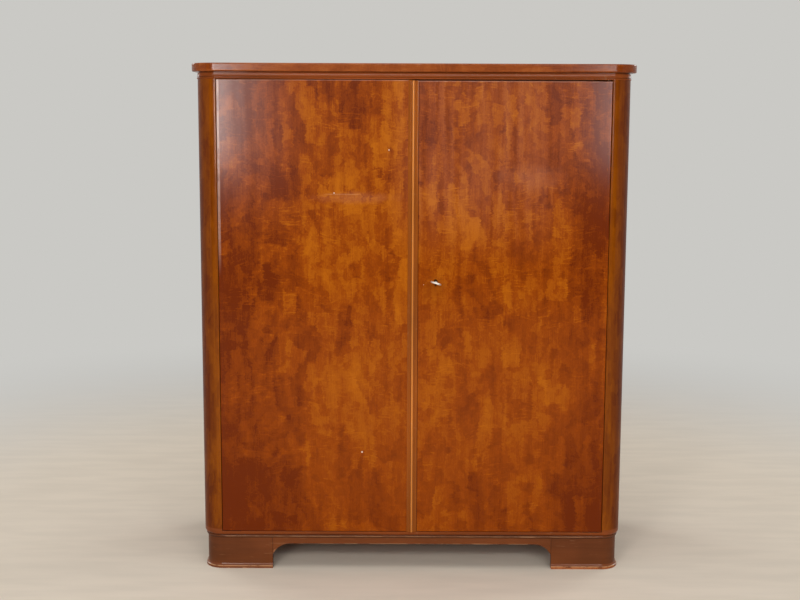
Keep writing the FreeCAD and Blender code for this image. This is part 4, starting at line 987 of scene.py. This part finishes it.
class WARDROBE_OT_bottom_board(Maker, bpy.types.Operator):
    """Makes the bottom board, rounded under its front edge and rebated for the doors"""

    bl_idname = "wardrobe.bottom_board"
    bl_label = "Bottom board"

    def execute(self, context):
        sizes, top = shape(), BOARD_HIGH.z
        piece = upright("bottom_board_made", plan(BOARD_HIGH.x, FRONT, CORNER), BOARD_LOW.z, top)
        rounded(piece, sizes.board_round, 8, lambda p: at(p.z, BOARD_LOW.z) and off_the_back(p, BOARD_HIGH.x))
        sill = top - sizes.sill_drop
        rebate_end = (POST_LOW.x, FRONT + sizes.sill_depth, top + OVERRUN)
        less_block(piece, (-POST_LOW.x, FRONT - OVERRUN, sill), rebate_end)
        softened(piece, sizes.arris * 0.5)
        for side in ("left", "right"):
            pocket(piece, *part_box(f"{side}_hinge_door_leaves"), sill, -sizes.leaf)
        pocket(piece, *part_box("bolt_strikes"), sill, -sizes.strike)
        radius, across, line = flush_bolt()
        travel = JOINTS["bottom_bolt_slide"]["range_m"][1]
        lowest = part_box("bottom_edge_bolt")[0].z - travel - sizes.strike_gap
        drilled(piece, across, line, sill, radius + sizes.strike_gap, lowest - sill)
        finished(piece, 0, "carcass", "carcass_birch", "board birch", "bottom_board")
        over_sill = top - sizes.sill_drop / 2
        second_finish(piece, "level inside birch", lambda c, normal: normal.z > 0.99 and c.z > over_sill)
        return {"FINISHED"}


BEAD_EDGE = 0.46  # share of the bead's height that the rounding of each edge takes


class WARDROBE_OT_plinth_bead(Maker, bpy.types.Operator):
    """Makes the frame under the body, half round along its front and sides"""

    bl_idname = "wardrobe.plinth_bead"
    bl_label = "Plinth bead"

    def execute(self, context):
        low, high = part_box("plinth_bead_frame")
        height, width = high.z - low.z, shape().frame_width
        outline = plan(high.x, low.y, CORNER - (low.y - FRONT))
        piece = upright("plinth_bead_made", outline, low.z, high.z)
        less_block(piece, low + Vector((width, width, -height)), high + Vector((-width, -width, height)))

        def outside(point):
            """True on the outer front and side edges, and not round the opening."""
            return point.y < low.y + width - SLACK or abs(point.x) > high.x - TINY

        for level in (low.z, high.z):
            rounded(piece, height * BEAD_EDGE, 6, lambda p: at(p.z, level) and outside(p))
        finished(piece, 0, "carcass", "plinth_birch", "plinth bead birch", "plinth_bead_frame")
        return {"FINISHED"}


# Doors


class WARDROBE_OT_doors(Maker, bpy.types.Operator):
    """Makes both veneered doors with their rounded edges, and the keyhole in the right one"""

    bl_idname = "wardrobe.doors"
    bl_label = "Doors"

    def execute(self, context):
        for side, (low, high) in (("left", LEFT_DOOR), ("right", RIGHT_DOOR)):
            seam, outer = (high.x, low.x) if side == "left" else (low.x, high.x)
            piece = upright(f"{side}_door_panel_made", oblong(low, high), low.z, high.z)

            def on_outline(p):
                """True for the face's edges, without the one where the doors meet."""
                return at(p.y, low.y) and (abs(p.x - seam) > TINY or at(p.z, low.z) or at(p.z, high.z))

            rounded(piece, shape().door_round, 7, on_outline)
            self.ease_outer_edge(piece, low.y, outer, math.copysign(1, seam - outer))
            if side == "right":
                less(piece, self.keyhole(low.y - OVERRUN, high.y + OVERRUN))
            softened(piece, shape().small_arris, 1)
            self.hinge_rooms(piece, side, low.z, high.z)
            if side == "left":
                self.bolt_rooms(piece, low, high)
            finished(piece, 0, f"{side}_door", "flamed_birch", "flamed birch veneer", f"{side}_door_panel")
            inner = high.y - SLACK
            second_finish(piece, "upright inside birch", lambda c, normal: normal.y > 0.99 and c.y > inner)
            if side == "right":
                # The keyhole's walls dark, as painted shade
                second_finish(piece, "stained pine", self.in_keyhole)
        return {"FINISHED"}

    @staticmethod
    def in_keyhole(centre, normal):
        """True for the keyhole's walls."""
        beside = abs(centre.x - KEY_X) < 2 * shape().hole_radius
        return beside and abs(centre.z - KEY_Z) < 2 * shape().hole_drop and abs(normal.y) < 0.5

    @staticmethod
    def hinge_rooms(piece, side, low, high):
        """Lets the hinge leaves and their pins into the door's ends."""
        sizes = shape()
        across, line = JOINTS[f"{side}_door_swing"]["pos_m"][:2]
        for end, inwards in ((low, 1), (high, -1)):
            pocket(piece, *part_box(f"{side}_hinge_door_leaves"), end, inwards * sizes.leaf)
            drilled(piece, across, line, end, sizes.pin_radius, inwards * sizes.pin_depth)

    @staticmethod
    def bolt_rooms(piece, low, high):
        """Makes room in the meeting edge for the flush bolts and their plates."""
        sizes = shape()
        radius, across, line = flush_bolt()
        near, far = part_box("edge_bolt_plates")
        edge, behind, half_well = high.x + OVERRUN, high.x - sizes.bolt_well, sizes.bolt_well / 2
        for end, plate, inwards in ((low.z, near.z, 1), (high.z, far.z, -1)):
            drilled(piece, across, line, end, radius + sizes.bolt_gap, plate - end + inwards * OVERRUN)
            bottom, top = sorted((plate, plate + inwards * sizes.bolt_plate))
            less_block(piece, (near.x, near.y, bottom), (far.x + OVERRUN, far.y, top))
            less_block(piece, (behind, line - half_well, bottom), (edge, line + half_well, top))

    @staticmethod
    def ease_outer_edge(piece, face, outer, inwards):
        """Lets the face fall back a little beside the outer edge, as sanding leaves it."""
        sizes = shape()
        reach = sizes.door_round + TINY
        with editing(piece):
            bpy.ops.mesh.bisect(plane_co=(outer + inwards * sizes.ease_width, 0, 0), plane_no=(1, 0, 0))
            pick("VERT", lambda p: abs(p.x - outer) < reach and p.y < face + reach - 2 * TINY)
            bpy.ops.transform.translate(value=(0, sizes.ease_depth, 0))

    @staticmethod
    def keyhole(near, far):
        """The cutter for a round hole with a slot below it."""
        sizes = shape()
        half, level = sizes.hole_slot / 2, KEY_Z - sizes.hole_drop
        half_angle = math.degrees(math.asin(half / sizes.hole_radius))
        ring = arc((KEY_X, KEY_Z), sizes.hole_radius, half_angle - 90, 270 - half_angle, 28)
        outline = ring + [(KEY_X - half, level), (KEY_X + half, level)]
        return solid("cutter", [(x, near, z) for x, z in outline], (0, far - near, 0))


class WARDROBE_OT_centre_strip(Maker, bpy.types.Operator):
    """Makes the moulded strip over the meeting of the doors and the light bead between its flanks"""

    bl_idname = "wardrobe.centre_strip"
    bl_label = "Centre strip"

    def execute(self, context):
        sizes = shape()
        face, edge = FRONT - sizes.strip_height, FRONT - sizes.strip_edge
        low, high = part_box("left_door_strip")
        lap = high.x + sizes.strip_lap
        flank = bow((high.x - sizes.strip_flat, face), (low.x, edge), sizes.strip_bow, 1, 8)
        outline = [(lap, face)] + flank + [(low.x, FRONT), (lap, FRONT)]
        piece = upright("left_door_strip_made", outline, low.z, high.z)
        finished(piece, sizes.small_arris, "left_door", "carcass_birch", "strip birch", "left_door_strip")

        bead_low, bead_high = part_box("centre_bead")
        low, high = RIGHT_STRIP
        seat, inner = FRONT - sizes.bead_seat, bead_high.x + sizes.strip_gap
        flank = bow((inner + sizes.strip_flat, face), (high.x, edge), sizes.strip_bow, -1, 8)
        outline = [(inner, face)] + flank + [(high.x, FRONT), (low.x, FRONT), (low.x, seat), (inner, seat)]
        piece = upright("right_door_strip_made", outline, low.z, high.z)
        finished(piece, sizes.small_arris, "right_door", "carcass_birch", "strip birch", "right_door_strip")

        radius = (bead_high.x - bead_low.x) / 2
        crown = arc((bead_low.x + radius, bead_low.y + radius), radius, 180, 360, 16)
        outline = crown + [(bead_high.x, bead_high.y), (bead_low.x, bead_high.y)]
        piece = upright("centre_bead_made", outline, bead_low.z, bead_high.z)
        finished(piece, sizes.thin_arris, "right_door", "bead_birch", "light bead birch", "centre_bead")
        return {"FINISHED"}


# Plinth


def round_the_foot(name, section, side):
    """Carries a section, as (outwards, height) places, round a front foot."""
    radius = CORNER - (BOARD_HIGH.x - FOOT_HIGH.x)
    turn_x, turn_y = FOOT_HIGH.x - radius, FOOT_LOW.y + radius
    outline = [(FOOT_LOW.x, FOOT_LOW.y - out, z) for out, z in section]
    runs = (turn_x - FOOT_LOW.x, 0, 0), (turn_x, turn_y), (0, FOOT_HIGH.y - turn_y, 0)
    piece = solid(name, outline, *runs)
    if side == "left":
        piece.data.transform(Matrix.Scale(-1, 4, (1, 0, 0)))
        piece.data.flip_normals()
    return piece


class WARDROBE_OT_front_feet(Maker, bpy.types.Operator):
    """Makes the two front feet, which turn the corners, and the worn mouldings round them"""

    bl_idname = "wardrobe.front_feet"
    bl_label = "Front feet"

    def execute(self, context):
        sizes = shape()
        side_low, side_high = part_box("plinth_right_board")
        wall = side_high.x - side_low.x
        board = [(0, 0), (0, FOOT_HIGH.z), (-wall, FOOT_HIGH.z), (-wall, 0)]
        low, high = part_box("right_foot_moulding")
        reach = FOOT_LOW.y - low.y
        cove = bow((reach, sizes.foot_edge), (0, high.z), sizes.foot_cove, -1, 8)
        for side in ("left", "right"):
            foot = round_the_foot(f"{side}_front_foot_made", board, side)
            finished(foot, sizes.arris, "carcass", "plinth_birch", "plinth birch", f"{side}_front_foot")
            node = f"{side}_foot_moulding"
            edge = round_the_foot(f"{node}_made", [(0, 0), (reach, 0)] + cove, side)
            finished(edge, sizes.worn_arris, "carcass", "plinth_birch", "foot moulding birch", node)
        return {"FINISHED"}


class WARDROBE_OT_aprons(Maker, bpy.types.Operator):
    """Makes the low front board between the feet and the side boards with the rear feet"""

    bl_idname = "wardrobe.aprons"
    bl_label = "Aprons"

    def execute(self, context):
        sizes = shape()
        low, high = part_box("plinth_apron")
        clear, reach = sizes.apron_clear, sizes.apron_reach
        rise = clear - low.z
        radius = (reach**2 + rise**2) / (2 * rise)
        right = bow((high.x, low.z), (high.x - reach, clear), radius, 1, 18)
        outline = [(high.x, high.z)] + right + mirrored(right) + [(low.x, high.z)]
        piece = solid("plinth_apron_made", [(x, low.y, z) for x, z in outline], (0, high.y - low.y, 0))
        finished(piece, sizes.arris, "carcass", "plinth_birch", "plinth birch", "plinth_apron")
        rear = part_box("rear_foot_mouldings")[0].y
        for side in ("left", "right"):
            low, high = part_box(f"plinth_{side}_board")
            outline = [(low.y, high.z)]
            outline += bow((low.y, clear - rise), (low.y + reach, clear), radius, -1, 18)
            outline += bow((rear - reach, clear), (rear, clear - rise), radius, -1, 18)
            outline += [(rear, 0), (BACK, 0), (BACK, high.z)]
            outline = [(low.x, y, z) for y, z in outline]
            piece = solid(f"plinth_{side}_board_made", outline, (high.x - low.x, 0, 0))
            finished(piece, sizes.arris, "carcass", "plinth_birch", "plinth birch", f"plinth_{side}_board")
        from_nodes("carcass", "plinth_birch", "foot moulding birch", sizes.worn_arris, "rear_foot_mouldings")
        return {"FINISHED"}


# Boards, inside and hardware


class WARDROBE_OT_body_boards(Maker, bpy.types.Operator):
    """Finishes the sides, top, back, door stops and the plinth's hidden timber"""

    bl_idname = "wardrobe.body_boards"
    bl_label = "Body boards"

    def execute(self, context):
        arris, small, thin = shape().arris, shape().small_arris, shape().thin_arris
        for side, sign in (("left", -1), ("right", 1)):
            from_nodes("carcass", "carcass_birch", "side birch veneer", thin, f"{side}_side_panel")
            panel = bpy.data.objects[f"{side}_side_panel_made"]
            second_finish(panel, "upright inside birch", lambda centre, normal: normal.x * sign < -0.5)
        from_nodes("carcass", "inside_birch", "level inside birch", small, "top_board")
        self.stain_front_for_shade(bpy.data.objects["top_board_made"])
        from_nodes("carcass", "inside_birch", "upright inside birch", arris, "back_stile")
        from_nodes("carcass", "back_plywood", "back plywood", small, "left_back_panel", "right_back_panel")
        from_nodes("carcass", "softwood", "pine", arris, "plinth_back_rail", "plinth_glue_blocks")
        # The door stops dark, as painted shade in the gaps over and under the doors
        from_nodes("carcass", "softwood", "stained pine", arris, "top_door_stop", "bottom_door_stop")
        return {"FINISHED"}

    @staticmethod
    def stain_front_for_shade(board):
        """Stains the top board dark as far back as the door stop, standing in for the shade in the gap, so
        that no pale wood shows over the doors.
        """
        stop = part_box("top_door_stop")[0].y
        with editing(board):
            bpy.ops.mesh.bisect(plane_co=(0, stop, 0), plane_no=(0, 1, 0))
        second_finish(board, "stained pine", lambda centre, normal: centre.y < stop + SLACK)


class WARDROBE_OT_inside(Maker, bpy.types.Operator):
    """Finishes the partition, shelves, battens and hanging rail"""

    bl_idname = "wardrobe.inside"
    bl_label = "Inside"

    def execute(self, context):
        edge = shape().shelf_round
        from_nodes("carcass", "inside_birch", "upright inside birch", edge, "centre_partition")
        shelves = ["hat_shelf"] + [f"right_shelf_{number}" for number in range(1, 5)]
        from_nodes("carcass", "inside_birch", "level inside birch", edge, *shelves)
        from_nodes("carcass", "softwood", "pine", edge * 0.8, "shelf_battens")
        from_nodes("carcass", "inside_birch", "level inside birch", edge * 0.6, "hanging_rail")
        from_nodes("carcass", "zinced_steel", "zinced steel", shape().fine_arris * 2, "rail_sockets")
        return {"FINISHED"}


class WARDROBE_OT_lock(Maker, bpy.types.Operator):
    """Finishes the lock, its bolt and the box on the left door that takes it"""

    bl_idname = "wardrobe.lock"
    bl_label = "Lock"

    def execute(self, context):
        fine = shape().fine_arris
        metal = ("zinced_steel", "zinced steel", fine)
        screws = ("zinced_steel", "browned steel", fine)
        from_nodes("right_door", *metal, "lock_plate", "lock_case", "lock_spring")
        from_nodes("right_door", *screws, "lock_screws")
        from_nodes("lock_bolt_bar", *metal, "lock_bolt")
        from_nodes("left_door", *metal, "lock_keeper")
        from_nodes("left_door", *screws, "keeper_screws")
        return {"FINISHED"}


class WARDROBE_OT_hinges_and_bolts(Maker, bpy.types.Operator):
    """Finishes the pivot hinges, flush bolts, strikes and carcass bolts"""

    bl_idname = "wardrobe.hinges_and_bolts"
    bl_label = "Hinges and bolts"

    def execute(self, context):
        fine = shape().fine_arris
        bright = ("zinced_steel", "zinced steel", fine)
        dark = ("zinced_steel", "browned steel", fine)
        from_nodes("carcass", *dark, "hinge_frame_leaves", "hinge_frame_screws", "bolt_strikes")
        from_nodes("carcass", *bright, "carcass_bolts")
        from_nodes("left_door", *dark, "left_hinge_door_leaves", "left_hinge_door_screws", "edge_bolt_plates")
        from_nodes("right_door", *dark, "right_hinge_door_leaves", "right_hinge_door_screws")
        from_nodes("top_bolt", *bright, "top_edge_bolt")
        from_nodes("bottom_bolt", *bright, "bottom_edge_bolt")
        return {"FINISHED"}


class WARDROBE_OT_key(Maker, bpy.types.Operator):
    """Finishes the key in the right-hand door"""

    bl_idname = "wardrobe.key"
    bl_label = "Key"

    def execute(self, context):
        from_nodes("door_key", "nickel_steel", "nickelled steel", shape().fine_arris, "key")
        bow_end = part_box("key")[0].y + shape().key_bow
        key = bpy.data.objects["key_made"]
        second_finish(key, "browned steel", lambda centre, normal: centre.y > bow_end)
        return {"FINISHED"}


# Stage

CAMERA_PLACE = (-0.045, -4.647, 1.572)
CAMERA_DOWN, CAMERA_ROLL = 8.03, 0.22  # in degrees
DAYLIGHT = (1.0, 0.98, 0.97)


def lamp(name, spot, target, width, depth, power, tint=(1, 1, 1)):
    """A broad lamp that shines from its spot towards a target and isn't seen itself."""
    bpy.ops.object.light_add(type="AREA", location=spot)
    light = bpy.context.object
    light.name = light.data.name = name
    light.data.shape = "RECTANGLE"
    light.data.size, light.data.size_y = width, depth
    light.data.energy = power
    light.data.color = tint
    light.visible_camera = False
    light.rotation_mode = "QUATERNION"
    light.rotation_quaternion = (Vector(target) - Vector(spot)).to_track_quat("-Z", "Y")


class WARDROBE_OT_stage(Maker, bpy.types.Operator):
    """Sets out the pale floor, the lamps, the background and the camera"""

    bl_idname = "wardrobe.stage"
    bl_label = "Stage"

    def execute(self, context):
        stage = context.scene.wardrobe_stage
        bpy.ops.object.select_all(action="DESELECT")
        bpy.ops.mesh.primitive_circle_add(vertices=96, radius=14, fill_type="NGON", location=(0, 0, 0))
        floor = context.object
        floor.name = "floor"
        floor.data.materials.append(self.floor_material(stage))
        lamp("window_lamp", (-1.78, -5.6, 1.85), (-0.3, 0, 1.1), 0.9, 1.3, stage.left_lamp, DAYLIGHT)
        lamp("far_lamp", (1.85, -5.6, 1.85), (0.3, 0, 1.1), 0.9, 1.3, stage.right_lamp)
        lamp("front_lamp", (0, -5.2, 2.85), (0, 0, 0.6), 5.0, 0.8, stage.front_lamp)
        lamp("ceiling_lamp", (0, -0.6, 5.0), (0, -0.1, 0.6), 4.0, 3.0, stage.top_lamp)
        for side in (-1, 1):
            lamp("rear_lamp", (side * 4.6, 3.6, 3.2), (0, 0, 0.8), 2.6, 2.0, stage.rear_lamp)
        self.room_behind_camera(stage)
        self.background(context.scene, stage)
        self.camera(context.scene, stage)
        context.scene.view_settings.view_transform = "Standard"
        return {"FINISHED"}

    @staticmethod
    def room_behind_camera(stage):
        """A dim wall behind the camera, seen only as the polish reflects it."""
        bpy.ops.object.select_all(action="DESELECT")
        tipped_up = (math.radians(-90), 0, 0)
        bpy.ops.mesh.primitive_plane_add(size=1, location=(0, -6.6, 1.9), rotation=tipped_up)
        wall = bpy.context.object
        wall.name = "room_behind_camera"
        wall.scale = (14, 3.8, 1)
        bpy.ops.object.transform_apply(location=True, rotation=True, scale=True)
        wall.visible_camera = wall.visible_diffuse = wall.visible_shadow = False
        made = Finish("dim wall", Specular_IOR_Level=0.0, Roughness=1.0)
        cloud = made.noise((0.7, 0.7, 0.7))
        made.give(Base_Color=made.blend(cloud, shade(stage.room, 0.8), shade(stage.room, 1.2)))
        wall.data.materials.append(made.material)

    @staticmethod
    def floor_material(stage):
        """A pale floor that passes into the background far from the wardrobe."""
        made = Finish("pale floor", Specular_IOR_Level=0.0, Roughness=0.9)
        x, y, _ = made.axes()
        far = made.math("SQRT", x * x + y * y).spread(1.6, 4.6)
        grain = made.noise((3.0, 14.0, 1.0), 3.0).spread(0.3, 0.7)
        tint = made.blend(grain, shade(stage.floor, 0.97), shade(stage.floor, 1.03))
        made.give(Base_Color=tint.toward(stage.wall, far))
        glow = made.result("ShaderNodeEmission", {"Color": (*stage.wall, 1.0), "Strength": 1.0})
        ground = Result(made, made.shader.outputs[0])
        made.end("Material Output", made.seen() * far, ground, glow)
        return made.material

    @staticmethod
    def background(scene, stage):
        """A pale backdrop for the camera and for reflections; for other rays an even light."""
        scene.world = bpy.data.worlds.new("studio")
        scene.world.use_nodes = True
        made = Nodes(scene.world.node_tree)
        lit = made.tree.nodes["Background"]
        lit.inputs["Color"].default_value = (1, 1, 1, 1)
        lit.inputs["Strength"].default_value = stage.ambient
        backdrop = made.result("ShaderNodeBackground", {"Color": (*stage.wall, 1.0)})
        made.end("World Output", made.seen(), Result(made, lit.outputs[0]), backdrop)

    @staticmethod
    def camera(scene, stage):
        bpy.ops.object.camera_add(location=CAMERA_PLACE)
        camera = bpy.context.object
        camera.name = "camera"
        camera.data.lens = stage.lens
        camera.data.sensor_width = 36
        camera.rotation_mode = "QUATERNION"
        tilt = Matrix.Rotation(math.radians(90 - CAMERA_DOWN), 3, "X")
        turned = tilt @ Matrix.Rotation(math.radians(CAMERA_ROLL), 3, "Z")
        camera.rotation_quaternion = turned.to_quaternion()
        scene.camera = camera


STEPS = (
    WARDROBE_OT_stage,
    WARDROBE_OT_top_slab,
    WARDROBE_OT_cornice,
    WARDROBE_OT_corner_posts,
    WARDROBE_OT_bottom_board,
    WARDROBE_OT_plinth_bead,
    WARDROBE_OT_doors,
    WARDROBE_OT_centre_strip,
    WARDROBE_OT_front_feet,
    WARDROBE_OT_aprons,
    WARDROBE_OT_body_boards,
    WARDROBE_OT_inside,
    WARDROBE_OT_lock,
    WARDROBE_OT_hinges_and_bolts,
    WARDROBE_OT_key,
)


class WARDROBE_PT_panel(bpy.types.Panel):
    """Lists the wardrobe's sizes, finishes and steps"""

    bl_label = "Wardrobe"
    bl_idname = "WARDROBE_PT_panel"
    bl_space_type = "VIEW_3D"
    bl_region_type = "UI"
    bl_category = "Wardrobe"

    def draw(self, context):
        for held in GROUPS:
            group = getattr(context.scene, held)
            box = self.layout.box()
            for name in type(group).__annotations__:
                box.prop(group, name)
        for step in STEPS:
            self.layout.operator(step.bl_idname)


def register():
    for name, group in GROUPS.items():
        bpy.utils.register_class(group)
        setattr(bpy.types.Scene, name, PointerProperty(type=group))
    for step in STEPS:
        bpy.utils.register_class(step)
    bpy.utils.register_class(WARDROBE_PT_panel)


def unregister():
    bpy.utils.unregister_class(WARDROBE_PT_panel)
    for step in reversed(STEPS):
        bpy.utils.unregister_class(step)
    for name, group in GROUPS.items():
        delattr(bpy.types.Scene, name)
        bpy.utils.unregister_class(group)


def main():
    register()
    for step in STEPS:
        group, name = step.bl_idname.split(".")
        getattr(getattr(bpy.ops, group), name)()


if __name__ == "__main__":
    main()
